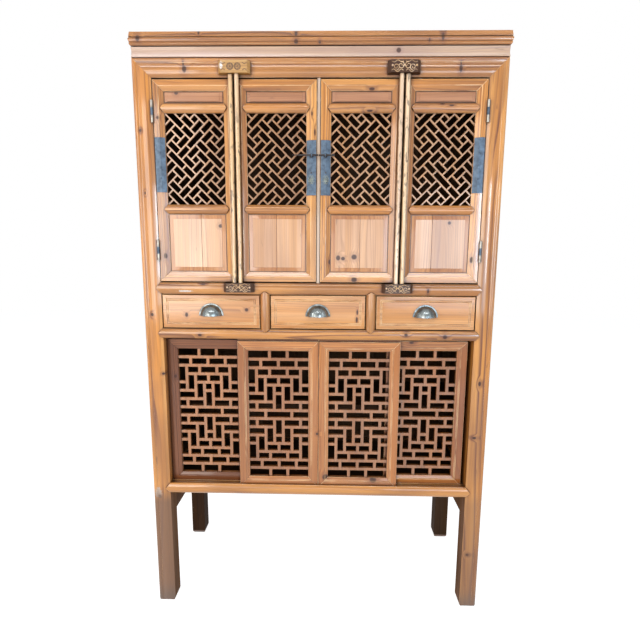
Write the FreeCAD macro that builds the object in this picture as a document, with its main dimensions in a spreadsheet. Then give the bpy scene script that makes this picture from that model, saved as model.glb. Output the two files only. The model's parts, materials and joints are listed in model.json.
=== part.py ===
import FreeCAD, Part
import math
import os
from types import SimpleNamespace

import Sketcher

# Book cabinet of fir: four lattice doors above, three drawers, four sliding lattice panels below.
# Case frame of the shapes: x from the middle, y back from the front face of the posts, z from the floor.
# Every node is then moved along Y, so that the origin lies under the middle of the whole cabinet.

SIZES = {
    # case
    "case_width": 1096.0,
    "case_depth": 441.0,
    "post_width": 54.0,
    "post_depth": 58.0,
    "post_bead": 14.0,
    "post_groove": 2.0,
    "post_slope": 10.0,
    "profile_drop": 6.5,
    "profile_groove_depth": 2.4,
    "bead_side": 3.0,
    "bead_rise": 2.2,
    "face_edge": 1.0,
    "face_rise": 1.6,
    "foot_round": 15.0,
    "rear_edge": 3.0,
    # frieze, waist and cornice
    "frieze_height": 55.0,
    "waist_height": 31.0,
    "waist_thickness": 22.0,
    "waist_hollow": 1.6,
    "waist_quirk": 3.0,
    "waist_quirk_depth": 6.0,
    "cornice_height": 37.0,
    "cornice_overhang": 5.0,
    "cornice_rail": 72.0,
    "cornice_set_back": 3.5,
    "cornice_band": 14.0,
    "cornice_band_lean": 1.5,
    "cornice_torus": 15.0,
    "cornice_torus_rise": 4.0,
    "cornice_fillet": 5.0,
    "cornice_fillet_in": 2.0,
    "top_panel_thickness": 12.0,
    "top_panel_drop": 5.0,
    "top_panel_lap": 8.0,
    # front rails and dividers
    "rail_edge": 5.0,
    "rail_rise": 7.0,
    "tip_length": 13.0,
    "book_rail_height": 36.0,
    "drawer_rail_height": 31.0,
    "foot_rail_height": 34.0,
    "drawer_opening": 111.0,
    "lower_opening": 496.0,
    "middle_drawer_less": 10.5,
    "divider_width": 29.0,
    "divider_depth": 44.0,
    "divider_rise": 8.5,
    "divider_tip": 9.0,
    "centre_stile_width": 9.0,
    # sides, back and boards
    "side_set_in": 3.0,
    "side_rail_thickness": 30.0,
    "side_foot_rail_drop": 120.0,
    "side_panel_set_in": 10.0,
    "side_panel_thickness": 10.0,
    "rear_rail_set_in": 6.0,
    "back_panel_thickness": 12.0,
    "back_panel_set_in": 24.0,
    "board_thickness": 16.0,
    "book_shelf_lift": 27.0,
    "low_shelf_front": 100.0,
    "low_floor_sink": 6.0,
    "bearer_width": 18.0,
    "bearer_height": 24.0,
    # hinged doors
    "door_recess": 4.0,
    "door_thickness": 22.0,
    "door_base": 1120.0,
    "door_height": 591.0,
    "door_end_gap": 4.0,
    "hinge_gap": 2.4,
    "rod_gap": 6.0,
    "meeting_gap": 1.5,
    "meeting_bevel": 3.0,
    "meeting_land": 4.0,
    "stile_width": 31.0,
    "rod_stile_width": 30.8,
    "door_end_rail": 31.0,
    "door_foot_rail": 30.0,
    "moulding_width": 14.0,
    "moulding_drop": 6.5,
    "lip": 9.0,
    "rebate": 4.5,
    "rebate_fit": 0.3,
    "large_panel_height": 176.0,
    "small_panel_height": 33.0,
    "cross_height": 28.0,
    "cross_rise": 8.0,
    "cross_tip": 10.0,
    "door_lattice_thickness": 6.0,
    "door_panel_thickness": 8.0,
    "field_inset": 2.5,
    "field_rise": 5.5,
    "field_slope_drop": 2.6,
    "field_step": 0.8,
    "small_border_x": 12.0,
    "small_border_z": 5.0,
    "large_border": 14.0,
    # diagonal lattice of the doors
    "diagonal_pitch": 20.6,
    "diagonal_bar": 5.0,
    # rods, pivots and blocks
    "rod_radius": 6.25,
    "rod_stand": 6.5,
    "rod_neck": 6.0,
    "rod_clearance": 1.5,
    "pivot_clearance": 0.3,
    "pivot_radius": 3.5,
    "pivot_length": 16.0,
    "bore_clearance": 0.08,
    "block_width": 93.0,
    "block_shift": 4.0,
    "block_proud": 18.0,
    "block_end": 9.0,
    "block_depth": 12.0,
    "block_corner": 8.0,
    "top_block_lift": 6.0,
    "top_block_height": 34.0,
    "low_block_lift": 8.0,
    "low_block_height": 28.0,
    # steel hinges and plates
    "knuckle_radius": 3.8,
    "knuckle_bore": 1.5,
    "pin_radius": 1.4,
    "axis_in": 0.2,
    "axis_depth": 0.6,
    "leaf_thickness": 1.0,
    "leaf_start": 5.4,
    "leaf_width": 19.0,
    "hinge_length": 63.0,
    "hinge_low_lift": 64.0,
    "hinge_high_drop": 58.0,
    "hinge_space": 0.4,
    "plate_thickness": 1.2,
    "plate_inset": 0.8,
    "outer_plate_drop": 107.0,
    "inner_plate_drop": 115.0,
    "plate_length": 159.0,
    # lock pin and its staples
    "pin_drop": 122.0,
    "pin_stand": 9.0,
    "lock_pin_radius": 2.4,
    "lock_pin_taper": 34.0,
    "lock_pin_left": 78.0,
    "lock_pin_right": 44.0,
    "lock_pin_parting": 1.0,
    "lock_knob_radius": 4.2,
    "staple_play": 0.3,
    "staple_wall": 3.2,
    "staple_width": 3.6,
    "staple_inset": 14.5,
    # drawers
    "drawer_recess": 6.0,
    "drawer_gap": 2.0,
    "drawer_front": 20.0,
    "drawer_pillow": 2.5,
    "drawer_groove_inset": 13.0,
    "drawer_groove": 1.6,
    "drawer_groove_step": 4.6,
    "drawer_groove_depth": 1.4,
    "tray_side": 10.0,
    "tray_base": 7.0,
    "tray_head_room": 25.0,
    "tray_back_room": 111.0,
    "tray_side_gap": 3.0,
    "guide_height": 26.0,
    "slide_gap": 0.3,
    "pull_radius": 36.5,
    "pull_sink": 9.5,
    "pull_wall": 2.2,
    "pull_lift": 43.0,
    "pull_rim": 4.0,
    "pull_rim_thickness": 1.4,
    # sliding panels
    "panel_overlap": 26.0,
    "panel_head_gap": 9.2,
    "panel_thickness": 20.0,
    "panel_rail": 32.0,
    "panel_flat": 20.0,
    "panel_step": 1.5,
    "panel_step_width": 3.5,
    "panel_drop": 5.5,
    "panel_lip": 8.0,
    "panel_lattice_thickness": 10.0,
    "track_first": 12.0,
    "track_space": 3.0,
    "track_play": 0.4,
    "track_floor": 8.5,
    "track_ridge": 2.0,
    "tongue_thickness": 8.0,
    "tongue_height": 17.0,
    "tongue_slot": 12.0,
    "rear_panel_gap": 0.5,
    "rear_panel_ajar": 10.0,
    "meeting_offset": 3.25,
    "meeting_space": 1.5,
    "square_bar": 9.6,
    "overrun": 20.0,
}

# Square lattice of the sliding panels, read from the middle row outwards.
# Uprights of each row in half rows, one side of the middle only, 0 on the middle itself.
ROW_UPRIGHT_SHARES = [[3], [1, 5], [1, 3], [1, 3, 5], [0, 3, 5], [2, 5], [0, 4], [2]]
# Cells that run on into the next row outwards: row, and the uprights between which they do.
OPEN_ROW_SHARES = [(1, -1, 1), (2, 1, 3), (3, 3, 5), (4, 5, None)]
LATTICE_ROWS = 15

# Pinwheel block of the diagonal lattice, as boxes of whole cells in a block of three by three.
PINWHEEL_SHARES = [(0, 0, 2, 1), (2, 0, 3, 2), (1, 2, 3, 3), (0, 1, 1, 3), (1, 1, 2, 2)]
# A strip between the blocks runs through for seven cells, cut in lengths of two, three and two.
STRIP_SHARES = [-4, -2, 1, 3]
BLOCK_PERIOD = 4
BLOCK_REACH = 4
HALF_BLOCK_SHARE = 1.5

# Small round pieces have flat sides, so that what repeats stays light.
HINGE_SIDES = 16
PIN_SIDES = 12
BALL_SIDES = 24
BALL_TURNS = 12
PIN_TAPER_SHARES = [(0, 0.3, 0.5), (0.3, 0.6, 0.7), (0.6, 1, 0.85)]
KNOB_SHARES = [(-1, -0.6, 0.7), (-0.6, 0.6, 1), (0.6, 1, 0.7)]

doc = FreeCAD.newDocument("book_cabinet")
sheet = doc.addObject("Spreadsheet::Sheet", "dims")
for row, (alias, value) in enumerate(SIZES.items(), start=1):
    sheet.set("A%d" % row, alias)
    sheet.set("B%d" % row, str(value))
    sheet.setAlias("B%d" % row, alias)
doc.recompute()


class Size:
    """A length that knows both its value and the spreadsheet expression that it comes from."""

    def __init__(self, value, text):
        self.value = float(value)
        self.text = text

    def __add__(self, other):
        other = as_size(other)
        return Size(self.value + other.value, "(%s + %s)" % (self.text, other.text))

    def __sub__(self, other):
        other = as_size(other)
        return Size(self.value - other.value, "(%s - %s)" % (self.text, other.text))

    def __rsub__(self, other):
        return as_size(other) - self

    def __mul__(self, other):
        other = as_size(other)
        return Size(self.value * other.value, "(%s * %s)" % (self.text, other.text))

    def __truediv__(self, other):
        other = as_size(other)
        return Size(self.value / other.value, "(%s / %s)" % (self.text, other.text))

    def __neg__(self):
        return Size(-self.value, "(-%s)" % self.text)

    __radd__ = __add__
    __rmul__ = __mul__


def as_size(item):
    if isinstance(item, Size):
        return item
    return Size(item, repr(item) if item >= 0 else "(%r)" % item)


S = SimpleNamespace(**{name: Size(sheet.get(name), "dims." + name) for name in SIZES})
ZERO = as_size(0)

# Levels and planes that many pieces share
half_width = S.case_width / 2
inner = half_width - S.post_width
door_top = S.door_base + S.door_height
frieze_base = door_top + S.door_end_gap
frieze_top = frieze_base + S.frieze_height
waist_top = frieze_top + S.waist_height
case_top = waist_top + S.cornice_height
book_rail_top = S.door_base - S.door_end_gap
book_rail_base = book_rail_top - S.book_rail_height
drawer_rail_top = book_rail_base - S.drawer_opening
drawer_rail_base = drawer_rail_top - S.drawer_rail_height
foot_rail_top = drawer_rail_base - S.lower_opening
foot_rail_base = foot_rail_top - S.foot_rail_height
cross_base = S.door_base + S.door_foot_rail + S.large_panel_height
upper_cross_base = door_top - S.door_end_rail - S.small_panel_height - S.cross_height
pin_height = upper_cross_base - S.pin_drop
book_shelf_top = cross_base + S.book_shelf_lift
low_shelf_top = foot_rail_top + S.lower_opening / 2
top_block_base = frieze_base + S.top_block_lift
low_block_base = book_rail_base + S.low_block_lift
rear_post_front = S.case_depth - S.post_depth
rear_rail_back = S.case_depth - S.rear_rail_set_in
side_outer = half_width - S.side_set_in
side_inner = side_outer - S.side_rail_thickness
side_panel_outer = half_width - S.side_panel_set_in
side_panel_inner = side_panel_outer - S.side_panel_thickness
pull_reach = S.pull_radius - S.pull_sink - S.drawer_recess
rear_reach = S.case_depth + S.cornice_overhang
front_shift = (pull_reach - rear_reach) / 2
door_width = (inner - S.centre_stile_width / 2 - S.hinge_gap - S.rod_gap - S.meeting_gap) / 2
door_opening = door_width - S.stile_width - S.rod_stile_width
rod_depth = -S.rod_stand

nodes = []


# Helpers for sketches, bodies and nodes

def bind(item, prop, length):
    item.setExpression(prop, as_size(length).text)


def plane_of(body, role):
    for feature in body.Origin.OriginFeatures:
        if feature.Role == role:
            return feature
    raise RuntimeError("no plane " + role)


def start_sketch(body, role, name):
    sketch = body.newObject("Sketcher::SketchObject", name)
    sketch.AttachmentSupport = [(plane_of(body, role), "")]
    sketch.MapMode = "FlatFace"
    return sketch


def add_loop(sketch, points):
    """A closed loop. A point is (x, y) or (x, y, rise): the edge after it bulges right by the rise."""
    first = sketch.GeometryCount
    count = len(points)
    spots = [(as_size(p[0]), as_size(p[1])) for p in points]
    rises = [as_size(p[2]) if len(p) > 2 else None for p in points]
    vectors = [FreeCAD.Vector(x.value, y.value, 0) for x, y in spots]
    starts = []
    ends = []
    geometry = []
    for index in range(count):
        near = vectors[index]
        far = vectors[(index + 1) % count]
        starts.append(1)
        ends.append(2)
        if rises[index] is None:
            geometry.append(Part.LineSegment(near, far))
            continue
        along = (far - near).normalize()
        right = FreeCAD.Vector(along.y, -along.x, 0)
        middle = (near + far) * 0.5 + right * rises[index].value
        geometry.append(Part.Arc(near, middle, far))
        if rises[index].value < 0:
            starts[-1] = 2
            ends[-1] = 1
    sketch.addGeometry(geometry, False)
    constraints = []
    bound = []
    for index in range(count):
        after = (index + 1) % count
        constraints.append(
            Sketcher.Constraint("Coincident", first + index, ends[index], first + after, starts[after]))
    for index, spot in enumerate(spots):
        for kind, axis, length in (("DistanceX", -2, spot[0]), ("DistanceY", -1, spot[1])):
            if length.text == ZERO.text:
                constraints.append(
                    Sketcher.Constraint("PointOnObject", first + index, starts[index], axis))
                continue
            constraints.append(
                Sketcher.Constraint(kind, -1, 1, first + index, starts[index], length.value))
            bound.append((len(constraints) - 1, length.text))
    for index in range(count):
        if rises[index] is None:
            continue
        near = spots[index]
        far = spots[(index + 1) % count]
        span_x = far[0] - near[0]
        span_y = far[1] - near[1]
        rise = rises[index] if rises[index].value > 0 else -rises[index]
        radius = ((span_x * span_x + span_y * span_y) / 4 + rise * rise) / (2 * rise)
        constraints.append(Sketcher.Constraint("Radius", first + index, radius.value))
        bound.append((len(constraints) - 1, radius.text))
    base = sketch.ConstraintCount
    sketch.addConstraint(constraints)
    for index, text in bound:
        sketch.setExpression("Constraints[%d]" % (base + index), text)


def new_body(name):
    return doc.addObject("PartDesign::Body", name)


def add_pad(body, role, loops, length, reverse=False, symmetric=False):
    sketch = start_sketch(body, role, body.Name + "_outline")
    for loop in loops:
        add_loop(sketch, loop)
    pad = body.newObject("PartDesign::Pad", body.Name + "_pad")
    pad.Profile = sketch
    pad.SideType = "Symmetric" if symmetric else "One side"
    pad.Reversed = reverse
    bind(pad, "Length", length)
    return pad


def add_pocket(body, role, loops):
    """Cuts the loops right through the body, both ways from the plane."""
    sketch = start_sketch(body, role, body.Name + "_cut_outline")
    for loop in loops:
        add_loop(sketch, loop)
    pocket = body.newObject("PartDesign::Pocket", body.Name + "_cut")
    pocket.Profile = sketch
    pocket.SideType = "Symmetric"
    pocket.Type = "ThroughAll"
    return pocket


def rectangle(x0, x1, y0, y1):
    return [(x0, y0), (x1, y0), (x1, y1), (x0, y1)]


def box(name, x0, x1, y0, y1, z0, z1):
    item = doc.addObject("Part::Box", name)
    for prop, low, high, place in (("Length", x0, x1, "x"), ("Width", y0, y1, "y"), ("Height", z0, z1, "z")):
        bind(item, prop, as_size(high) - low)
        bind(item, "Placement.Base." + place, low)
    return item


def cylinder(name, radius, x, y, z0, z1):
    item = doc.addObject("Part::Cylinder", name)
    bind(item, "Radius", radius)
    bind(item, "Height", z1 - z0)
    for place, low in (("x", x), ("y", y), ("z", z0)):
        bind(item, "Placement.Base." + place, low)
    return item


def upright_prism(name, radius, x, y, z0, z1):
    """A round piece with few faces, for the small hinge parts that repeat."""
    item = doc.addObject("Part::Prism", name)
    item.Polygon = HINGE_SIDES
    bind(item, "Circumradius", radius)
    bind(item, "Height", z1 - z0)
    for place, low in (("x", x), ("y", y), ("z", z0)):
        bind(item, "Placement.Base." + place, low)
    return item


def lying_prism(name, radius, x0, x1, y, z):
    """The same along X."""
    item = doc.addObject("Part::Prism", name)
    item.Polygon = PIN_SIDES
    bind(item, "Circumradius", radius)
    bind(item, "Height", x1 - x0)
    item.Placement = FreeCAD.Placement(FreeCAD.Vector(), FreeCAD.Rotation(FreeCAD.Vector(0, 1, 0), 90))
    for place, low in (("x", x0), ("y", y), ("z", z)):
        bind(item, "Placement.Base." + place, low)
    return item


def faceted_ball(name, radius, y, z):
    """A ball with flat faces, where prisms turned about its front-to-back axis meet."""
    length = 2 * (radius + S.overrun)
    prisms = []
    for index in range(BALL_TURNS):
        angle = 180 * index / BALL_TURNS
        item = doc.addObject("Part::Prism", "%s_%d" % (name, index))
        item.Polygon = BALL_SIDES
        bind(item, "Circumradius", radius)
        bind(item, "Height", length)
        item.Placement = FreeCAD.Placement(
            FreeCAD.Vector(), FreeCAD.Rotation(FreeCAD.Vector(0, 1, 0), angle))
        half = length / 2
        bind(item, "Placement.Base.x", -math.sin(math.radians(angle)) * half)
        bind(item, "Placement.Base.y", y)
        bind(item, "Placement.Base.z", z - math.cos(math.radians(angle)) * half)
        prisms.append(item)
    return common(name, prisms)


def cut(name, base, tools):
    item = doc.addObject("Part::Cut", name)
    item.Base = base
    item.Tool = tools[0] if len(tools) == 1 else group(name + "_tools", tools)
    return item


def fuse(name, items):
    item = doc.addObject("Part::MultiFuse", name)
    item.Shapes = items
    return item


def common(name, items):
    item = doc.addObject("Part::MultiCommon", name)
    item.Shapes = items
    return item


def group(name, items):
    item = doc.addObject("Part::Compound", name)
    item.Links = items
    return item


def node(name, items, x=ZERO, z=ZERO):
    """A finished sub-part, moved from the case frame to the frame of the whole cabinet."""
    item = group(name, items)
    item.Label = name
    bind(item, "Placement.Base.x", x)
    bind(item, "Placement.Base.y", front_shift)
    bind(item, "Placement.Base.z", z)
    nodes.append(item)
    return item


# Profiles

def front_profile(depth):
    """Moulded face of the posts and the frieze: (distance from the outer edge, depth, rise)."""
    face_start = S.post_bead + S.post_groove
    face_end = S.post_width - S.post_slope
    return [
        (ZERO, depth),
        (ZERO, S.bead_side, S.bead_rise),
        (S.post_bead, S.profile_groove_depth),
        (face_start, S.profile_groove_depth, S.face_rise),
        (face_end, S.face_edge),
        (S.post_width, S.profile_drop),
        (S.post_width, depth),
    ]


def turned(points, place):
    """The points sent through place; a rise changes its side when the loop is mirrored by it."""
    out = []
    for point in points:
        x, y, flip = place(point[0], point[1])
        if len(point) > 2:
            out.append((x, y, point[2] * flip))
        else:
            out.append((x, y))
    return out


# Posts

def corner_round(x, side, y, up, radius):
    """The waste outside a rounded edge at the corner (x, y), with an overrun outwards."""
    rise = radius * (1 - math.sqrt(0.5))
    inward = side * radius
    return [
        (x + inward, y, rise * (-side * up)),
        (x, y + up * radius),
        (x - side * S.overrun, y + up * radius),
        (x - side * S.overrun, y - up * S.overrun),
        (x + inward, y - up * S.overrun),
    ]


def post(name, side, rear):
    """A post on one side (-1 left, 1 right), mitred at its head to the front, side or rear frieze."""
    body = new_body(name + "_wood")
    outer = half_width * side
    if rear:
        edge = S.rear_edge
        outline = [
            (outer, rear_post_front),
            (outer, S.case_depth - edge),
            (outer - side * edge, S.case_depth),
            (outer - side * S.post_width, S.case_depth),
            (outer - side * S.post_width, rear_post_front),
        ]
    else:
        outline = turned(front_profile(S.post_depth), lambda u, y: (outer - side * u, y, -side))
    add_pad(body, "XY_Plane", [outline], frieze_top)
    above = frieze_top + S.overrun
    mitre_x = [
        (outer, frieze_top),
        (outer - side * S.post_width, frieze_base),
        (outer - side * (S.post_width + S.overrun), frieze_base),
        (outer - side * (S.post_width + S.overrun), above),
        (outer, above),
    ]
    near = S.case_depth if rear else ZERO
    way = -1 if rear else 1
    mitre_y = [
        (near, frieze_top),
        (near + way * S.post_depth, frieze_base),
        (near + way * (S.post_depth + S.overrun), frieze_base),
        (near + way * (S.post_depth + S.overrun), above),
        (near, above),
    ]
    add_pocket(body, "XZ_Plane", [mitre_x])
    add_pocket(body, "YZ_Plane", [mitre_y])
    foot_x = [corner_round(outer, -side, ZERO, 1, S.foot_round),
              corner_round(outer - side * S.post_width, side, ZERO, 1, S.foot_round)]
    foot_y = [corner_round(near, way, ZERO, 1, S.foot_round),
              corner_round(near + way * S.post_depth, -way, ZERO, 1, S.foot_round)]
    add_pocket(body, "XZ_Plane", foot_x)
    add_pocket(body, "YZ_Plane", foot_y)
    return body


posts = {}
for post_name, post_side, is_rear in (
        ("front_post_left", -1, False), ("front_post_right", 1, False),
        ("rear_post_left", -1, True), ("rear_post_right", 1, True)):
    posts[post_name] = post(post_name, post_side, is_rear)
    node(post_name, [posts[post_name]])
front_posts = [posts["front_post_left"], posts["front_post_right"]]


# Frieze rails, mitred three ways with the posts

def frieze_bar(name, near, way, moulded):
    """Front or rear frieze rail: full width, its ends cut along both mitres."""
    body = new_body(name)
    if moulded:
        outline = turned(front_profile(S.post_depth), lambda v, y: (y, frieze_top - v, 1))
    else:
        outline = rectangle(near, near + way * S.post_depth, frieze_base, frieze_top)
    add_pad(body, "YZ_Plane", [outline], S.case_width, symmetric=True)
    below = frieze_base - S.overrun
    front_cuts = []
    plan_cuts = []
    for side in (-1, 1):
        outer = side * half_width
        past = side * (half_width + S.overrun)
        front_cuts.append([(outer, frieze_top), (side * inner, frieze_base), (side * inner, below),
                           (past, below), (past, frieze_top)])
        deep = near + way * S.post_depth
        deeper = near + way * (S.post_depth + S.overrun)
        plan_cuts.append([(outer, near), (side * inner, deep), (side * inner, deeper),
                          (past, deeper), (past, near)])
    add_pocket(body, "XZ_Plane", front_cuts)
    add_pocket(body, "XY_Plane", plan_cuts)
    return body


def side_frieze(name, side):
    body = new_body(name)
    outline = rectangle(side * half_width, side * inner, frieze_base, frieze_top)
    add_pad(body, "XZ_Plane", [outline], S.case_depth, reverse=True)
    below = frieze_base - S.overrun
    side_cuts = []
    plan_cuts = []
    for near, way in ((ZERO, 1), (S.case_depth, -1)):
        deep = near + way * S.post_depth
        past = near - way * S.overrun
        side_cuts.append([(near, frieze_top), (deep, frieze_base), (deep, below),
                          (past, below), (past, frieze_top)])
        past_inner = side * (inner - S.overrun)
        plan_cuts.append([(side * half_width, near), (side * inner, deep), (past_inner, deep),
                          (past_inner, past), (side * half_width, past)])
    add_pocket(body, "YZ_Plane", side_cuts)
    add_pocket(body, "XY_Plane", plan_cuts)
    return body


frieze = frieze_bar("frieze_wood", ZERO, 1, True)
node("frieze_rail", [frieze])


# Mitred rings above the frieze

def mitred_ring(name, x_out, y_front, y_back, width, profile):
    """Four bars with one profile, points (inwards, z, rise), mitred over the given width."""
    bars = []
    past = width + S.overrun
    for label, near, way in (("front", y_front, 1), ("back", y_back, -1)):
        bar = new_body(name + "_" + label)
        outline = turned(profile, lambda u, z: (near + way * u, z, way))
        add_pad(bar, "YZ_Plane", [outline], 2 * x_out, symmetric=True)
        add_pocket(bar, "XY_Plane", [
            [(side * x_out, near), (side * (x_out - past), near + way * past),
             (side * (x_out + S.overrun), near + way * past), (side * (x_out + S.overrun), near)]
            for side in (-1, 1)])
        bars.append(bar)
    for label, side in (("left", -1), ("right", 1)):
        bar = new_body(name + "_" + label)
        outline = turned(profile, lambda u, z: (side * (x_out - u), z, -side))
        bar_pad = add_pad(bar, "XZ_Plane", [outline], y_back - y_front, reverse=True)
        bind(bar_pad.Profile[0], "AttachmentOffset.Base.z", -y_front)
        cuts = []
        for near, way in ((y_front, 1), (y_back, -1)):
            cuts.append([(side * x_out, near), (side * (x_out - past), near + way * past),
                         (side * (x_out - past), near - way * S.overrun),
                         (side * x_out, near - way * S.overrun)])
        add_pocket(bar, "XY_Plane", cuts)
        bars.append(bar)
    return bars


waist_face_top = waist_top - S.waist_quirk
waist_profile = [
    (S.waist_thickness, frieze_top),
    (S.waist_thickness, waist_top),
    (S.waist_quirk_depth, waist_top),
    (S.waist_quirk_depth, waist_face_top),
    (ZERO, waist_face_top, -S.waist_hollow),
    (ZERO, frieze_top),
]
node("waist_band", mitred_ring("waist", half_width, ZERO, S.case_depth, S.waist_thickness, waist_profile))

band_base = case_top - S.cornice_band
torus_base = band_base - S.cornice_torus
fillet_base = torus_base - S.cornice_fillet
panel_seat = case_top - S.top_panel_drop - S.top_panel_thickness
cornice_profile = [
    (S.cornice_rail, waist_top),
    (S.cornice_rail, panel_seat),
    (S.cornice_rail - S.top_panel_lap, panel_seat),
    (S.cornice_rail - S.top_panel_lap, case_top),
    (S.cornice_set_back, case_top),
    (S.cornice_band_lean, band_base),
    (S.cornice_torus_rise, band_base, S.cornice_torus_rise),
    (S.cornice_torus_rise, torus_base),
    (S.cornice_fillet_in, torus_base),
    (S.cornice_fillet_in, fillet_base),
    (S.cornice_overhang, waist_top),
]
cornice_x = half_width + S.cornice_overhang
cornice_front = -S.cornice_overhang
node("cornice", mitred_ring("cornice", cornice_x, cornice_front, rear_reach, S.cornice_rail, cornice_profile))
panel_reach = cornice_x - S.cornice_rail + S.top_panel_lap - S.rebate_fit
node("top_panel", [box(
    "top_panel_board", -panel_reach, panel_reach,
    cornice_front + S.cornice_rail - S.top_panel_lap + S.rebate_fit,
    rear_reach - S.cornice_rail + S.top_panel_lap - S.rebate_fit,
    panel_seat, panel_seat + S.top_panel_thickness)])


# Front rails: half round, each end drawn to a spear tip that lies on the post

def spear_cuts(end_in, side, low, high, length):
    """Waste above and below a spear tip at one end of a bar, as seen from the front."""
    middle = (low + high) / 2
    tip = end_in + side * length
    past = end_in + side * (length + S.overrun)
    over = high + S.overrun
    under = low - S.overrun
    return [
        [(end_in, high), (tip, middle), (past, middle), (past, over), (end_in, over)],
        [(end_in, low), (tip, middle), (past, middle), (past, under), (end_in, under)],
    ]


def half_round_rail(name, low, high, depth_points):
    """A rail with a half-round face; depth_points close its section behind the face."""
    body = new_body(name + "_blank")
    outline = [(S.rail_edge, high, S.rail_rise), (S.rail_edge, low)] + depth_points
    add_pad(body, "YZ_Plane", [outline], 2 * (inner + S.tip_length), symmetric=True)
    ends = spear_cuts(inner, 1, low, high, S.tip_length)
    ends += spear_cuts(-inner, -1, low, high, S.tip_length)
    add_pocket(body, "XZ_Plane", [ends[0], ends[2]])
    add_pocket(body, "XZ_Plane", [ends[1], ends[3]])
    return cut(name + "_wood", body, front_posts)


book_rail = half_round_rail("book_rail", book_rail_base, book_rail_top, [
    (S.post_depth, book_rail_base), (S.post_depth, book_rail_top)])
node("book_rail", [book_rail])

track_fronts = [S.track_first, S.track_first + S.panel_thickness + S.track_space]
slot_top = drawer_rail_base + S.tongue_slot
slot_points = []
for track_front in track_fronts:
    slot_middle = track_front + S.panel_thickness / 2
    slot_half = S.tongue_thickness / 2 + S.track_play
    slot_points += [
        (slot_middle - slot_half, drawer_rail_base), (slot_middle - slot_half, slot_top),
        (slot_middle + slot_half, slot_top), (slot_middle + slot_half, drawer_rail_base)]
drawer_rail = half_round_rail("drawer_rail", drawer_rail_base, drawer_rail_top, slot_points + [
    (S.post_depth, drawer_rail_base), (S.post_depth, drawer_rail_top)])
node("drawer_rail", [drawer_rail])

track_base = foot_rail_top - S.track_floor
first_low = track_fronts[0] - S.track_play
first_high = track_fronts[0] + S.panel_thickness + S.track_play
second_low = track_fronts[1] - S.track_play
second_high = track_fronts[1] + S.panel_thickness + S.track_play
foot_rail = half_round_rail("foot_rail", foot_rail_base, foot_rail_top, [
    (S.post_depth, foot_rail_base), (S.post_depth, foot_rail_top),
    (second_high, foot_rail_top), (second_high, track_base), (second_low, track_base),
    (second_low, foot_rail_top - S.track_ridge), (first_high, foot_rail_top - S.track_ridge),
    (first_high, track_base), (first_low, track_base), (first_low, foot_rail_top)])
node("foot_rail", [foot_rail])


# Drawer dividers and centre stile

def divider(name, middle):
    body = new_body(name + "_blank")
    low = drawer_rail_top - S.divider_tip
    high = book_rail_base + S.divider_tip
    half = S.divider_width / 2
    outline = [(middle - half, S.rail_edge, S.divider_rise), (middle + half, S.rail_edge),
               (middle + half, S.divider_depth), (middle - half, S.divider_depth)]
    divider_pad = add_pad(body, "XY_Plane", [outline], high - low)
    bind(divider_pad.Profile[0], "AttachmentOffset.Base.z", low)
    cuts = []
    for end, way in ((drawer_rail_top, -1), (book_rail_base, 1)):
        tip = end + way * S.divider_tip
        past = tip + way * S.overrun
        for side in (-1, 1):
            edge = middle + side * half
            cuts.append([(edge, end), (middle, tip), (middle, past), (edge + side * S.overrun, past),
                         (edge + side * S.overrun, end)])
    add_pocket(body, "XZ_Plane", [cuts[0], cuts[2]])
    add_pocket(body, "XZ_Plane", [cuts[1], cuts[3]])
    return cut(name, body, [book_rail, drawer_rail])


middle_bay = (2 * inner - 2 * S.divider_width - 2 * S.middle_drawer_less) / 3
divider_offset = (middle_bay + S.divider_width) / 2
node("drawer_dividers", [divider("divider_left", -divider_offset),
                         divider("divider_right", divider_offset)])
node("centre_stile", [box(
    "centre_stile_wood", -S.centre_stile_width / 2, S.centre_stile_width / 2, S.profile_drop,
    S.door_recess + S.door_thickness, book_rail_top, frieze_base)])


# Sides and back: rails between the posts with panels between the rails

side_levels = [
    (foot_rail_base - S.side_foot_rail_drop, foot_rail_top),
    (drawer_rail_base, drawer_rail_top),
    (book_rail_base, book_rail_top),
]
side_pieces = []
side_boards = []
for side_name, side in (("left", -1), ("right", 1)):
    side_pieces.append(side_frieze("side_frieze_" + side_name, side))
    low_x = side * side_outer if side < 0 else side_inner
    high_x = -side_inner if side < 0 else side_outer
    panel_low_x = -side_panel_outer if side < 0 else side_panel_inner
    panel_high_x = -side_panel_inner if side < 0 else side_panel_outer
    for index, (low, high) in enumerate(side_levels):
        side_pieces.append(box("side_rail_%s_%d" % (side_name, index), low_x, high_x,
                               S.post_depth, rear_post_front, low, high))
        above = side_levels[index + 1][0] if index + 1 < len(side_levels) else frieze_base
        side_boards.append(box("side_board_%s_%d" % (side_name, index), panel_low_x, panel_high_x,
                               S.post_depth, rear_post_front, high, above))
node("side_rails", side_pieces)
node("side_panels", side_boards)

rear_pieces = [frieze_bar("rear_frieze", S.case_depth, -1, False)]
back_boards = []
back_levels = [
    (foot_rail_base, foot_rail_top),
    (drawer_rail_base, drawer_rail_top),
    (book_rail_base, book_rail_top),
]
back_panel_back = S.case_depth - S.back_panel_set_in
for index, (low, high) in enumerate(back_levels):
    rear_pieces.append(box("rear_rail_%d" % index, -inner, inner, rear_post_front, rear_rail_back, low, high))
    above = back_levels[index + 1][0] if index + 1 < len(back_levels) else frieze_base
    back_boards.append(box("back_board_%d" % index, -inner, inner,
                           back_panel_back - S.back_panel_thickness, back_panel_back, high, above))
node("rear_rails", rear_pieces)
node("back_panels", back_boards)


# Floors and shelves

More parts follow.
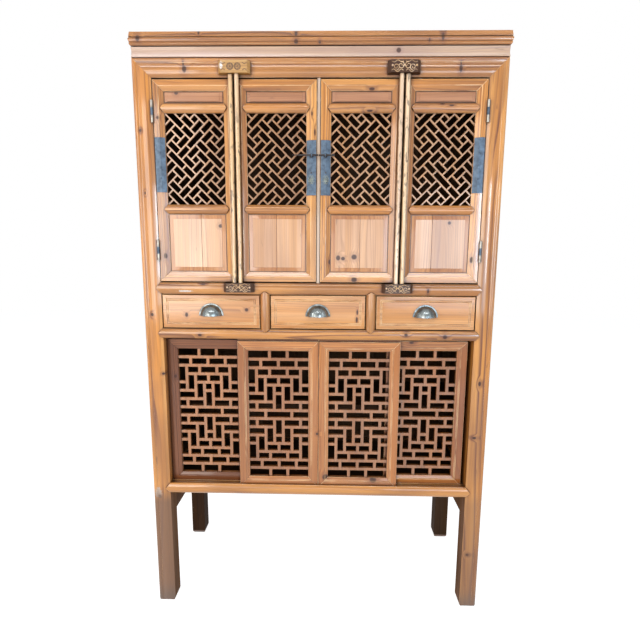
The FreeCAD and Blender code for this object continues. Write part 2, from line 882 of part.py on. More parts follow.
def shelf(name, front, top):
    """A loose board on two bearers that are fixed to the side panels."""
    base = top - S.board_thickness
    reach = side_panel_inner - S.rebate_fit
    pieces = [box(name + "_board", -reach, reach, front, rear_post_front, base, top)]
    for side_name, low_x, high_x in (
            ("left", -side_panel_inner, -side_panel_inner + S.bearer_width),
            ("right", side_panel_inner - S.bearer_width, side_panel_inner)):
        pieces.append(box(name + "_bearer_" + side_name, low_x, high_x, front, rear_post_front,
                          base - S.bearer_height, base))
    return pieces


def floor_board(name, top):
    return [box(name + "_board", -side_inner, side_inner, S.post_depth, rear_post_front,
                top - S.board_thickness, top)]


node("book_shelf", shelf("book_shelf", S.post_depth, book_shelf_top))
node("book_floor", floor_board("book_floor", book_rail_top))
node("drawer_dust_board", floor_board("drawer_dust_board", drawer_rail_top))
node("lower_shelf", shelf("lower_shelf", S.low_shelf_front, low_shelf_top))
node("lower_floor", floor_board("lower_floor", foot_rail_top - S.low_floor_sink))


# Pivot blocks, each seated on the rail behind it and bored for one rod

rod_places = {}
for door_number, side in ((1, -1), (2, -1), (3, 1), (4, 1)):
    from_middle = S.centre_stile_width / 2 + S.meeting_gap + door_width
    if door_number in (1, 4):
        rod_places[door_number] = side * (from_middle + S.rod_gap + S.rod_radius)
    else:
        rod_places[door_number] = side * (from_middle - S.rod_radius)


def pivot_block(name, side, low, height, rail, bore_low, bore_high):
    body = new_body(name + "_blank")
    middle = side * (S.centre_stile_width / 2 + S.meeting_gap + door_width + S.rod_gap / 2 - S.block_shift)
    half = S.block_width / 2
    end_front = -S.block_end
    outline = [
        (middle - half, S.block_depth),
        (middle - half, end_front),
        (middle - half + S.block_corner, -S.block_proud),
        (middle + half - S.block_corner, -S.block_proud),
        (middle + half, end_front),
        (middle + half, S.block_depth),
    ]
    block_pad = add_pad(body, "XY_Plane", [outline], height)
    bind(block_pad.Profile[0], "AttachmentOffset.Base.z", low)
    pivot_door = 2 if side < 0 else 3
    bore = cylinder(name + "_bore", S.pivot_radius + S.bore_clearance, rod_places[pivot_door],
                    rod_depth, bore_low, bore_high)
    return cut(name + "_wood", body, [rail, bore])


for side_name, side in (("left", -1), ("right", 1)):
    bore_top = top_block_base + S.pivot_length + S.pivot_clearance
    node("top_block_" + side_name, [pivot_block(
        "top_block_" + side_name, side, top_block_base, S.top_block_height, frieze,
        top_block_base - S.overrun, bore_top)])
    low_block_top = low_block_base + S.low_block_height
    node("low_block_" + side_name, [pivot_block(
        "low_block_" + side_name, side, low_block_base, S.low_block_height, book_rail,
        low_block_top - S.pivot_length - S.pivot_clearance, low_block_top + S.overrun)])


# Hinged doors

door_face = S.door_recess


def frame_section(width, bevelled):
    """Section of a door stile: (from the outer edge, depth behind the door face)."""
    back = [(width - S.rebate, S.lip), (width - S.rebate, S.door_thickness)]
    if bevelled:
        edge = [(S.meeting_bevel, S.door_thickness), (ZERO, S.meeting_land), (ZERO, ZERO)]
    else:
        edge = [(ZERO, S.door_thickness), (ZERO, ZERO)]
    return edge + [(width - S.moulding_width, ZERO), (width, S.moulding_drop), (width, S.lip)] + back


def door_stile(name, outer, way, width, bevelled):
    """An upright of the door, mitred to the top and bottom rails."""
    body = new_body(name)
    section = frame_section(width, bevelled)
    outline = [(outer + way * u, door_face + y) for u, y in section]
    stile_pad = add_pad(body, "XY_Plane", [outline], S.door_height)
    bind(stile_pad.Profile[0], "AttachmentOffset.Base.z", S.door_base)
    past_x = outer + way * (width + S.overrun)
    cuts = [
        [(outer, door_top), (outer + way * width, door_top - S.door_end_rail),
         (past_x, door_top - S.door_end_rail), (past_x, door_top + S.overrun),
         (outer, door_top + S.overrun)],
        [(outer, S.door_base), (outer + way * width, S.door_base + S.door_foot_rail),
         (past_x, S.door_base + S.door_foot_rail), (past_x, S.door_base - S.overrun),
         (outer, S.door_base - S.overrun)],
    ]
    add_pocket(body, "XZ_Plane", cuts)
    return body


def door_rail(name, start, end, base, way, width, start_mitre, end_mitre):
    """A top or bottom rail with the door's moulding, mitred to stiles of two widths."""
    body = new_body(name)
    section = frame_section(width, False)
    outline = [(door_face + y, base + way * u) for u, y in section]
    rail_pad = add_pad(body, "YZ_Plane", [outline], end - start)
    bind(rail_pad.Profile[0], "AttachmentOffset.Base.z", start)
    inside = base + way * width
    past = base + way * (width + S.overrun)
    cuts = [
        [(start, base), (start + start_mitre, inside), (start + start_mitre, past),
         (start - S.overrun, past), (start - S.overrun, base)],
        [(end, base), (end - end_mitre, inside), (end - end_mitre, past),
         (end + S.overrun, past), (end + S.overrun, base)],
    ]
    add_pocket(body, "XZ_Plane", cuts)
    return body


def cross_rail(name, left, right, low, stiles):
    """A half-round rail between the stiles, its ends drawn to tips on their mouldings."""
    body = new_body(name + "_blank")
    high = low + S.cross_height
    outline = [
        (door_face + S.moulding_drop, high, S.cross_rise),
        (door_face + S.moulding_drop, low),
        (door_face + S.lip, low),
        (door_face + S.lip, low + S.rebate),
        (door_face + S.door_thickness, low + S.rebate),
        (door_face + S.door_thickness, high - S.rebate),
        (door_face + S.lip, high - S.rebate),
        (door_face + S.lip, high),
    ]
    cross_pad = add_pad(body, "YZ_Plane", [outline], right - left + 2 * S.cross_tip)
    bind(cross_pad.Profile[0], "AttachmentOffset.Base.z", left - S.cross_tip)
    ends = spear_cuts(right, 1, low, high, S.cross_tip)
    ends += spear_cuts(left, -1, low, high, S.cross_tip)
    add_pocket(body, "XZ_Plane", [ends[0], ends[2]])
    add_pocket(body, "XZ_Plane", [ends[1], ends[3]])
    return cut(name, body, stiles)


def raised_panel(name, left, right, low, high, border_x, border_z):
    """A panel in the rebate, its field raised, with a border that slopes down to the frame."""
    body = new_body(name)
    grown = S.rebate - S.rebate_fit
    seat = door_face + S.lip
    plate = add_pad(body, "XZ_Plane", [rectangle(left - grown, right + grown, low - grown, high + grown)],
                    S.door_panel_thickness, reverse=True)
    bind(plate.Profile[0], "AttachmentOffset.Base.z", -seat)
    field = add_pad(body, "XZ_Plane", [rectangle(
        left + S.field_inset, right - S.field_inset, low + S.field_inset, high - S.field_inset)],
        S.field_rise)
    bind(field.Profile[0], "AttachmentOffset.Base.z", -seat)
    face = seat - S.field_rise
    past = face - S.overrun
    drop = face + S.field_slope_drop
    step = face + S.field_step
    plan = []
    section = []
    for edge, way in ((left, 1), (right, -1)):
        rim = edge + way * S.field_inset
        line = edge + way * border_x
        plan.append([(rim, drop), (line, step), (line, past), (rim - way * S.overrun, past),
                     (rim - way * S.overrun, drop)])
    for edge, way in ((low, 1), (high, -1)):
        rim = edge + way * S.field_inset
        line = edge + way * border_z
        section.append([(drop, rim), (step, line), (past, line), (past, rim - way * S.overrun),
                        (drop, rim - way * S.overrun)])
    add_pocket(body, "XY_Plane", plan)
    add_pocket(body, "YZ_Plane", section)
    return body


# Diagonal lattice: pinwheel blocks of cells with strips that pass over and under between them

def cell_boxes():
    """Cells of the pattern in whole pitches, about the middle of the middle block."""
    cells = []
    for column in range(-BLOCK_REACH, BLOCK_REACH + 1):
        for row in range(-BLOCK_REACH, BLOCK_REACH + 1):
            origin_a = BLOCK_PERIOD * column
            origin_b = BLOCK_PERIOD * row
            even = (column + row) % 2 == 0
            for a0, b0, a1, b1 in PINWHEEL_SHARES:
                if even:
                    cells.append((origin_a + a0, origin_b + b0, origin_a + a1, origin_b + b1))
                else:
                    cells.append((origin_a + b0, origin_b + a0, origin_a + b1, origin_b + a1))
            for near, far in zip(STRIP_SHARES, STRIP_SHARES[1:]):
                if even:
                    cells.append((origin_a + near, origin_b - 1, origin_a + far, origin_b))
                else:
                    cells.append((origin_a - 1, origin_b + near, origin_a, origin_b + far))
    return [tuple(edge - HALF_BLOCK_SHARE for edge in cell) for cell in cells]


def plate_with_holes(outline, holes, front, thickness):
    """One flat piece: the outline with every hole cut through it."""
    wires = []
    for points in [outline] + holes:
        corners = [FreeCAD.Vector(x, front, z) for x, z in points]
        wires.append(Part.makePolygon(corners + corners[:1]))
    face = Part.Face(wires[0])
    openings = [Part.Face(wire) for wire in wires[1:]]
    pierced = face.cut(openings)
    return pierced.extrude(FreeCAD.Vector(0, thickness, 0))


def clipped(points, low_x, high_x, low_z, high_z):
    """The convex outline cut to the opening."""
    for axis, limit, sign in ((0, low_x, 1), (0, high_x, -1), (1, low_z, 1), (1, high_z, -1)):
        kept = []
        for index, here in enumerate(points):
            before = points[index - 1]
            here_in = sign * (here[axis] - limit) >= 0
            before_in = sign * (before[axis] - limit) >= 0
            if here_in != before_in:
                part = (limit - before[axis]) / (here[axis] - before[axis])
                kept.append((before[0] + part * (here[0] - before[0]),
                             before[1] + part * (here[1] - before[1])))
            if here_in:
                kept.append(here)
        points = kept
        if not points:
            return []
    return points


def area_of(points):
    total = 0.0
    for index, here in enumerate(points):
        before = points[index - 1]
        total += before[0] * here[1] - here[0] * before[1]
    return abs(total) / 2


def diagonal_holes(left, right, low, high, hand):
    """Holes of the lattice, the cells less half a bar all round, turned 45 degrees and clipped."""
    pitch = S.diagonal_pitch.value
    half_bar = S.diagonal_bar.value / 2
    middle_x = (left + right) / 2
    middle_z = (low + high) / 2
    turn = math.sqrt(0.5)
    holes = []
    for a0, b0, a1, b1 in cell_boxes():
        low_a = a0 * pitch + half_bar
        high_a = a1 * pitch - half_bar
        low_b = b0 * pitch + half_bar
        high_b = b1 * pitch - half_bar
        corners = [(low_a, low_b), (high_a, low_b), (high_a, high_b), (low_a, high_b)]
        points = [(middle_x - hand * (a + b) * turn, middle_z + (a - b) * turn) for a, b in corners]
        points = clipped(points, left, right, low, high)
        if len(points) > 2 and area_of(points) > half_bar * half_bar:
            holes.append(points)
    return holes


def door_lattice(name, left, right, low, high, hand):
    item = doc.addObject("Part::Feature", name)
    grown = S.rebate.value - S.rebate_fit.value
    outline = [(left - grown, low - grown), (right + grown, low - grown),
               (right + grown, high + grown), (left - grown, high + grown)]
    holes = diagonal_holes(left, right, low, high, hand)
    item.Shape = plate_with_holes(outline, holes, (door_face + S.lip).value, S.door_lattice_thickness.value)
    return item


def door_rod(name, x, neck_side, pivoting):
    """The round rod on the door's edge, with a neck to the stile and, on a turning door, pivots."""
    low_end = low_block_base + S.low_block_height
    high_end = top_block_base
    gap = S.pivot_clearance if pivoting else S.rod_clearance
    pieces = [cylinder(name + "_round", S.rod_radius, x, rod_depth, low_end + gap, high_end - gap)]
    pieces.append(box(name + "_neck", x - S.rod_neck / 2, x + S.rod_neck / 2, rod_depth, door_face,
                      S.door_base, door_top))
    if pivoting:
        pieces.append(cylinder(name + "_low_pivot", S.pivot_radius, x, rod_depth,
                               low_end - S.pivot_length, low_end + S.overrun))
        pieces.append(cylinder(name + "_high_pivot", S.pivot_radius, x, rod_depth,
                               high_end - S.overrun, high_end + S.pivot_length))
    return fuse(name + "_wood", pieces)


def plate(name, outer, way, base):
    """A steel plate bent over the flat and the moulding of the stile."""
    body = new_body(name)
    flat = S.stile_width - S.moulding_width
    reach = S.stile_width - S.plate_inset
    fall = S.moulding_drop * (reach - flat) / S.moulding_width
    thick = S.plate_thickness
    section = [
        (S.plate_inset, ZERO), (flat, ZERO), (reach, fall), (reach, fall - thick),
        (flat, -thick), (S.plate_inset, -thick)]
    outline = [(outer + way * u, door_face + y) for u, y in section]
    plate_pad = add_pad(body, "XY_Plane", [outline], S.plate_length)
    bind(plate_pad.Profile[0], "AttachmentOffset.Base.z", base)
    return body


pin_y = door_face - S.pin_stand


def staple(name, x):
    """The eye on an inner plate through which the lock pin passes, cut flat where it meets the plate."""
    hole_radius = S.lock_pin_radius + S.staple_play
    eye_radius = hole_radius + S.staple_wall
    start = x - S.staple_width / 2
    end = start + S.staple_width
    eye = lying_prism(name + "_eye", eye_radius, start, end, pin_y, pin_height)
    hole = lying_prism(name + "_hole", hole_radius, start, end, pin_y, pin_height)
    reach = eye_radius + S.overrun
    front = box(name + "_front", x - reach, x + reach, pin_y - reach, door_face - S.plate_thickness,
                pin_height - reach, pin_height + reach)
    ring = common(name + "_ring", [cut(name + "_bored", eye, [hole]), front])
    shank = box(name + "_shank", start, start + S.staple_width, pin_y + hole_radius,
                door_face - S.plate_thickness, pin_height - S.staple_wall, pin_height + S.staple_wall)
    return fuse(name, [ring, shank])


hinge_axis_x = inner + S.axis_in
hinge_axis_y = S.axis_depth
hinge_bases = [S.door_base + S.hinge_low_lift, door_top - S.hinge_high_drop - S.hinge_length]
knuckle_length = S.hinge_length / 3


def hinge_knuckle(name, side, low, high):
    outer = upright_prism(name + "_tube", S.knuckle_radius, side * hinge_axis_x, hinge_axis_y,
                          low, high)
    bore = upright_prism(name + "_bore", S.knuckle_bore, side * hinge_axis_x, hinge_axis_y,
                         low - S.overrun, high + S.overrun)
    return outer, bore


def leaf_box(name, side, near_x, far_x, low, high, start):
    low_x = side * near_x if side > 0 else -far_x
    high_x = side * far_x if side > 0 else -near_x
    return box(name, low_x, high_x, start, start + S.leaf_width, low, high)


def post_leaf(name, side, base):
    """The half of a hinge on the post: outer knuckles, a leaf and the pin."""
    top = base + S.hinge_length
    solids = [leaf_box(name + "_leaf", side, inner - S.leaf_thickness, inner, base, top,
                       S.profile_drop)]
    bores = []
    for index, low in ((0, base), (2, base + 2 * knuckle_length + S.hinge_space)):
        high = low + knuckle_length - S.hinge_space
        tube, bore = hinge_knuckle("%s_%d" % (name, index), side, low, high)
        web = leaf_box("%s_web_%d" % (name, index), side, inner - S.leaf_thickness, inner, low, high,
                       hinge_axis_y)
        solids += [tube, web]
        bores.append(bore)
    shell = cut(name, fuse(name + "_solid", solids), bores)
    pin = upright_prism(name + "_pin", S.pin_radius, side * hinge_axis_x, hinge_axis_y, base, top)
    return [shell, pin]


def door_leaf(name, side, base):
    """The half of a hinge on the door: the middle knuckle and a leaf on the stile's edge."""
    edge = inner - S.hinge_gap
    low = base + knuckle_length
    high = low + knuckle_length
    tube, bore = hinge_knuckle(name, side, low, high)
    leaf = leaf_box(name + "_leaf", side, edge, edge + S.leaf_thickness, base, base + S.hinge_length,
                    S.leaf_start)
    web = leaf_box(name + "_web", side, edge, edge + S.leaf_thickness, low, high, S.axis_depth)
    return cut(name, fuse(name + "_solid", [tube, leaf, web]), [bore])


post_leaves = []
for side_name, side in (("left", -1), ("right", 1)):
    for index, base in enumerate(hinge_bases):
        post_leaves += post_leaf("post_leaf_%s_%d" % (side_name, index), side, base)
node("post_hinge_leaves", post_leaves)


def hinged_door(number, plate_edge, way, hinged):
    """A door from its plate edge towards its rod; way is 1 when the rod is on the right."""
    tag = "door_%d" % number
    rod_edge = plate_edge + way * door_width
    opening_near = plate_edge + way * S.stile_width
    opening_far = opening_near + way * door_opening
    left = opening_near if way > 0 else opening_far
    right = opening_far if way > 0 else opening_near
    start = plate_edge if way > 0 else rod_edge
    end = rod_edge if way > 0 else plate_edge
    start_mitre = S.stile_width if way > 0 else S.rod_stile_width
    end_mitre = S.rod_stile_width if way > 0 else S.stile_width
    stiles = [
        door_stile(tag + "_plate_stile", plate_edge, way, S.stile_width, not hinged),
        door_stile(tag + "_rod_stile", rod_edge, -way, S.rod_stile_width, False),
    ]
    rails = [
        door_rail(tag + "_head", start, end, door_top, -1, S.door_end_rail, start_mitre, end_mitre),
        door_rail(tag + "_foot", start, end, S.door_base, 1, S.door_foot_rail, start_mitre, end_mitre),
        cross_rail(tag + "_upper_cross", left, right, upper_cross_base, stiles),
        cross_rail(tag + "_lower_cross", left, right, cross_base, stiles),
    ]
    node(tag + "_frame", stiles + rails)
    lower_top = cross_base
    lattice_low = cross_base + S.cross_height
    lattice_high = upper_cross_base
    small_low = upper_cross_base + S.cross_height
    node(tag + "_lattice", [door_lattice(tag + "_lattice_wood", left.value, right.value,
                                         lattice_low.value, lattice_high.value, way)])
    node(tag + "_panels", [
        raised_panel(tag + "_small_panel", left, right, small_low, door_top - S.door_end_rail,
                     S.small_border_x, S.small_border_z),
        raised_panel(tag + "_large_panel", left, right, S.door_base + S.door_foot_rail, lower_top,
                     S.large_border, S.large_border),
    ])
    node(tag + "_rod", [door_rod(tag + "_rod", rod_places[number], -way, not hinged)])
    plate_base = pin_height - (S.outer_plate_drop if hinged else S.inner_plate_drop)
    iron = [plate(tag + "_plate", plate_edge, way, plate_base)]
    if hinged:
        for index, base in enumerate(hinge_bases):
            iron.append(door_leaf("%s_leaf_%d" % (tag, index), -way, base))
    else:
        iron.append(staple(tag + "_staple", plate_edge + way * S.staple_inset))
    node(tag + "_ironwork", iron)


middle_edge = S.centre_stile_width / 2 + S.meeting_gap
outer_edge = inner - S.hinge_gap
hinged_door(1, -outer_edge, 1, True)
hinged_door(2, -middle_edge, -1, False)
hinged_door(3, middle_edge, 1, False)
hinged_door(4, outer_edge, -1, True)


# Lock pin, parted at the meeting line

def lock_pin(name, parts):
    node(name, [fuse(name + "_iron", [
        lying_prism("%s_%d" % (name, index), radius, start, end, pin_y, pin_height)
        for index, (start, end, radius) in enumerate(parts)])])


shaft_start = -S.lock_pin_left + S.lock_pin_taper
lock_pin("lock_pin_left", [(shaft_start, -S.lock_pin_parting, S.lock_pin_radius)] + [
    (-S.lock_pin_left + S.lock_pin_taper * start, -S.lock_pin_left + S.lock_pin_taper * end,
     S.lock_pin_radius * width)
    for start, end, width in PIN_TAPER_SHARES])
lock_pin("lock_pin_right", [(S.lock_pin_parting, S.lock_pin_right, S.lock_pin_radius)] + [
    (S.lock_pin_right + S.lock_knob_radius * start, S.lock_pin_right + S.lock_knob_radius * end,
     S.lock_knob_radius * width)
    for start, end, width in KNOB_SHARES])


# Drawers on their guides

divider_inner = divider_offset - S.divider_width / 2
divider_outer = divider_offset + S.divider_width / 2
drawer_bays = [(-inner, -divider_outer), (-divider_inner, divider_inner), (divider_outer, inner)]
tray_floor = drawer_rail_top + S.slide_gap
front_base = drawer_rail_top + S.drawer_gap
front_top = book_rail_base - S.drawer_gap
front_back = S.drawer_recess + S.drawer_front
tray_height = S.drawer_opening - S.tray_head_room
tray_depth = S.case_depth - S.tray_back_room
pull_base = drawer_rail_top + S.pull_lift


def drawer_board(name, left, right):
    """Drawer front: pillowed edges and two fine grooves round its face."""
    body = new_body(name)
    slab = add_pad(body, "XZ_Plane", [rectangle(left, right, front_base, front_top)], S.drawer_front,
                   reverse=True)
    bind(slab.Profile[0], "AttachmentOffset.Base.z", -S.drawer_recess)
    pillow = S.drawer_pillow
    past = S.drawer_recess - S.overrun
    face = S.drawer_recess
    plan = []
    section = []
    for edge, way in ((left, 1), (right, -1)):
        plan.append([(edge, face + pillow), (edge + way * pillow, face), (edge + way * pillow, past),
                     (edge - way * S.overrun, past), (edge - way * S.overrun, face + pillow)])
    for edge, way in ((front_base, 1), (front_top, -1)):
        section.append([(face + pillow, edge), (face, edge + way * pillow), (past, edge + way * pillow),
                        (past, edge - way * S.overrun), (face + pillow, edge - way * S.overrun)])
    add_pocket(body, "XY_Plane", plan)
    add_pocket(body, "YZ_Plane", section)
    ring = start_sketch(body, "XZ_Plane", name + "_groove_outline")
    for inset in (S.drawer_groove_inset, S.drawer_groove_inset + S.drawer_groove_step):
        for step in (ZERO, S.drawer_groove):
            line = inset + step
            add_loop(ring, rectangle(left + line, right - line, front_base + line, front_top - line))
    bind(ring, "AttachmentOffset.Base.z", -S.drawer_recess)
    groove = body.newObject("PartDesign::Pocket", name + "_groove")
    groove.Profile = ring
    bind(groove, "Length", S.drawer_groove_depth)
    return body


def drawer_tray(name, left, right):
    """Two sides, a back and a bottom behind the drawer front."""
    near = left + S.tray_side_gap
    far = right - S.tray_side_gap
    back = front_back + tray_depth
    top = tray_floor + tray_height
    floor_top = tray_floor + S.tray_base
    return [
        box(name + "_left", near, near + S.tray_side, front_back, back, tray_floor, top),
        box(name + "_right", far - S.tray_side, far, front_back, back, tray_floor, top),
        box(name + "_back", near + S.tray_side, far - S.tray_side, back - S.tray_side, back, tray_floor, top),
        box(name + "_floor", near + S.tray_side, far - S.tray_side, front_back, back - S.tray_side,
            tray_floor, floor_top),
    ]


def rim_disc(name, radius):
    """A flat disc that lies on the drawer front."""
    item = doc.addObject("Part::Prism", name)
    item.Polygon = BALL_SIDES
    bind(item, "Circumradius", radius)
    bind(item, "Height", S.pull_rim_thickness)
    item.Placement = FreeCAD.Placement(FreeCAD.Vector(), FreeCAD.Rotation(FreeCAD.Vector(1, 0, 0), 90))
    bind(item, "Placement.Base.y", S.drawer_recess)
    bind(item, "Placement.Base.z", pull_base)
    return item


def cup_pull(name):
    """A half-dome pull, open below, with a rim flat on the drawer front."""
    centre_y = S.drawer_recess + S.pull_sink
    shell = cut(name + "_shell", faceted_ball(name + "_outside", S.pull_radius, centre_y, pull_base),
                [faceted_ball(name + "_hollow", S.pull_radius - S.pull_wall, centre_y, pull_base)])
    reach = S.pull_radius + S.overrun
    keep = box(name + "_keep", -reach, reach, centre_y - reach, S.drawer_recess,
               pull_base, pull_base + reach)
    cup = common(name + "_cup", [shell, keep])
    rim_radius = S.pull_radius - S.pull_rim_thickness
    ring = cut(name + "_ring", rim_disc(name + "_disc", rim_radius + S.pull_rim),
               [rim_disc(name + "_hole", rim_radius - S.pull_rim)])
    return fuse(name + "_metal", [cup, common(name + "_rim", [ring, keep])])


pull = cup_pull("cup_pull")
for number, (bay_left, bay_right) in enumerate(drawer_bays, start=1):
    tag = "drawer_%d" % number
    face_left = bay_left + S.drawer_gap
    face_right = bay_right - S.drawer_gap
    node(tag, [drawer_board(tag + "_face", face_left, face_right)]
         + drawer_tray(tag + "_tray", face_left, face_right))
    node(tag + "_pull", [pull], x=(face_left + face_right) / 2)

guide_gap = S.drawer_gap + S.tray_side_gap - S.slide_gap
guide_top = drawer_rail_top + S.guide_height
guide_spans = [
    (-side_inner, -inner + guide_gap), (-divider_outer - guide_gap, -divider_inner + guide_gap),
    (divider_inner - guide_gap, divider_outer + guide_gap), (inner - guide_gap, side_inner)]
node("drawer_guides", [
    box("drawer_guide_%d" % index, low, high, S.post_depth, rear_post_front, drawer_rail_top, guide_top)
    for index, (low, high) in enumerate(guide_spans)])


# Sliding lattice panels

def panel_section():
    width = S.panel_rail
    step_end = S.panel_flat + S.panel_step_width
    return [
        (ZERO, S.panel_thickness),
        (ZERO, ZERO),
        (S.panel_flat, ZERO),
        (S.panel_flat, S.panel_step),
        (step_end, S.panel_step),
        (width, S.panel_drop),
        (width, S.panel_lip),
        (width - S.rebate, S.panel_lip),
        (width - S.rebate, S.panel_thickness),
    ]


def panel_bar(name, upright, outer, way, start, end, front):
    """One mitred bar of a sliding panel's frame."""
    body = new_body(name)
    width = S.panel_rail
    if upright:
        outline = [(outer + way * u, front + y) for u, y in panel_section()]
        bar_pad = add_pad(body, "XY_Plane", [outline], end - start)
    else:
        outline = [(front + y, outer + way * u) for u, y in panel_section()]
        bar_pad = add_pad(body, "YZ_Plane", [outline], end - start)
    bind(bar_pad.Profile[0], "AttachmentOffset.Base.z", start)
    inside = outer + way * width
    past = outer + way * (width + S.overrun)
    cuts = []
    for edge, turn in ((start, 1), (end, -1)):
        waste = [(outer, edge), (inside, edge + turn * width), (past, edge + turn * width),
                 (past, edge - turn * S.overrun), (outer, edge - turn * S.overrun)]
        cuts.append(waste if upright else [(along, across) for across, along in waste])
    add_pocket(body, "XZ_Plane", cuts)
    return body


def row_edges(row):
    """Uprights of one row, in half rows from the middle, both sides."""
    places = ROW_UPRIGHT_SHARES[row]
    return sorted({-place for place in places} | set(places))


def square_cells():
    """Cells as (left, right, first row, last row); None stands for the frame's edge."""
    middle = len(ROW_UPRIGHT_SHARES) - 1
    rows = [abs(index - middle) for index in range(LATTICE_ROWS)]
    cells = {}
    for index, row in enumerate(rows):
        edges = [None] + row_edges(row) + [None]
        for left, right in zip(edges, edges[1:]):
            cells[(index, left, right)] = index
    merged = []
    for (index, left, right) in sorted(cells, key=lambda cell: cell[0]):
        if (index, left, right) not in cells:
            continue
        last = index
        if last + 1 < LATTICE_ROWS and runs_on(rows[last], rows[last + 1], left, right):
            last += 1
            del cells[(last, left, right)]
        merged.append((left, right, index, last))
    return merged


def runs_on(row, after, left, right):
    """Whether a cell runs on from one row into the next one."""
    for low_row, near, far in OPEN_ROW_SHARES:
        if {row, after} != {low_row, low_row + 1}:
            continue
        if far is None:
            if (left, right) in ((None, -near), (near, None)):
                return True
        elif (left, right) in ((near, far), (-far, -near)):
            return True
    return False


def square_lattice(name, left, right, low, high, front):
    item = doc.addObject("Part::Feature", name)
    half_bar = S.square_bar.value / 2
    pitch = (high - low) / LATTICE_ROWS
    middle = (left + right) / 2
    holes = []
    for near, far, first, last in square_cells():
        low_x = left if near is None else middle + near * pitch / 2 + half_bar
        high_x = right if far is None else middle + far * pitch / 2 - half_bar
        high_z = high if first == 0 else high - first * pitch - half_bar
        low_z = low if last == LATTICE_ROWS - 1 else high - (last + 1) * pitch + half_bar
        holes.append([(low_x, low_z), (high_x, low_z), (high_x, high_z), (low_x, high_z)])
    grown = S.rebate.value - S.rebate_fit.value
    outline = [(left - grown, low - grown), (right + grown, low - grown),
               (right + grown, high + grown), (left - grown, high + grown)]
    item.Shape = plate_with_holes(outline, holes, front, S.panel_lattice_thickness.value)
    return item


panel_width = (inner + S.panel_overlap) / 2


def sliding_panel(number, left, track):
    tag = "sliding_panel_%d" % number
    right = left + panel_width
    low = track_base + S.slide_gap
    high = drawer_rail_base - S.panel_head_gap
    bars = [
        panel_bar(tag + "_left", True, left, 1, low, high, track),
        panel_bar(tag + "_right", True, right, -1, low, high, track),
        panel_bar(tag + "_foot", False, low, 1, left, right, track),
        panel_bar(tag + "_head", False, high, -1, left, right, track),
    ]
    tongue_front = track + (S.panel_thickness - S.tongue_thickness) / 2
    tongue = box(tag + "_tongue", left, right, tongue_front, tongue_front + S.tongue_thickness,
                 high, high + S.tongue_height)
    lattice = square_lattice(
        tag + "_lattice", (left + S.panel_rail).value, (right - S.panel_rail).value,
        (low + S.panel_rail).value, (high - S.panel_rail).value, (track + S.panel_lip).value)
    node(tag, bars + [tongue, lattice])


panel_middle = S.meeting_offset
sliding_panel(1, -inner + S.rear_panel_gap, track_fronts[1])
sliding_panel(2, panel_middle - S.meeting_space / 2 - panel_width, track_fronts[0])
sliding_panel(3, panel_middle + S.meeting_space / 2, track_fronts[0])
sliding_panel(4, inner - S.rear_panel_ajar - panel_width, track_fronts[1])


# Rebuild, test every object and write the sub-parts

doc.recompute()
for item in doc.Objects:
    if "Invalid" in item.State or "Error" in item.State:
        raise RuntimeError("failed: %s %s" % (item.Name, item.State))
for item in nodes:
    if item.Shape.isNull() or not item.Shape.isValid() or item.Shape.Volume <= 0:
        raise RuntimeError("bad shape: " + item.Label)

os.makedirs("parts", exist_ok=True)
for item in nodes:
    item.Shape.exportStep("parts/%s.step" % item.Label)
print("%d sub-parts written" % len(nodes))
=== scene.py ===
import json
import math
import random

import bmesh
import bpy
from mathutils import Matrix, Vector


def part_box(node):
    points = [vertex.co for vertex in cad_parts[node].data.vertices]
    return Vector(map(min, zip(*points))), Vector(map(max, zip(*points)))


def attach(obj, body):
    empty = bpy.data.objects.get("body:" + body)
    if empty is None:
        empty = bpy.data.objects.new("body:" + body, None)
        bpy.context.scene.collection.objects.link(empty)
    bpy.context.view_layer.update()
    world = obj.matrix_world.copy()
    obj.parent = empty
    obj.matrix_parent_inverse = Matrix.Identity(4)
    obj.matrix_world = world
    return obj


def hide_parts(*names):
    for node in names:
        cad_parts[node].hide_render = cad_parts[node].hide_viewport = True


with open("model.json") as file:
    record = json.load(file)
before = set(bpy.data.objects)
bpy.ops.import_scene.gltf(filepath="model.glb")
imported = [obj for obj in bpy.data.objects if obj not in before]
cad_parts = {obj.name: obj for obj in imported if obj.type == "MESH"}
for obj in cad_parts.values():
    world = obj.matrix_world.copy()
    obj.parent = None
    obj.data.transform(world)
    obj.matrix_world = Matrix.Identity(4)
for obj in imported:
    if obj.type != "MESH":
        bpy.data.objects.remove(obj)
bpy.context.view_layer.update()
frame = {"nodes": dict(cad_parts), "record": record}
nodes = frame["nodes"]
bodies = frame["record"]["behaviour"]["bodies"]
body_of = {node: body for body, members in bodies.items() for node in members}
scene = bpy.context.scene

SEED = 7
luck = random.Random(SEED)
X, Y, Z = range(3)


def add_object(name, data):
    item = bpy.data.objects.new(name, data)
    scene.collection.objects.link(item)
    return item


# Camera, as fitted to the photograph: metres, degrees, and millimetres for the lens

CAMERA_PLACE = (0.0360, -1.5995, 1.2118)
YAW, PITCH, ROLL = (math.radians(angle) for angle in (-1.19, 8.62, 0.33))
LENS, SENSOR = 25.12, 36

forward = Vector((math.sin(YAW) * math.cos(PITCH), math.cos(YAW) * math.cos(PITCH),
                  -math.sin(PITCH)))
level = Vector((math.cos(YAW), -math.sin(YAW), 0))
upright = level.cross(forward)
right = math.cos(ROLL) * level + math.sin(ROLL) * upright
up = -math.sin(ROLL) * level + math.cos(ROLL) * upright
camera_data = bpy.data.cameras.new("camera")
camera_data.lens = LENS
camera_data.sensor_width = SENSOR
camera = add_object("camera", camera_data)
camera_axes = Matrix((right, up, -forward)).transposed()
camera.matrix_world = Matrix.Translation(CAMERA_PLACE) @ camera_axes.to_4x4()
scene.camera = camera
scene.view_settings.view_transform = "Standard"


# Node trees

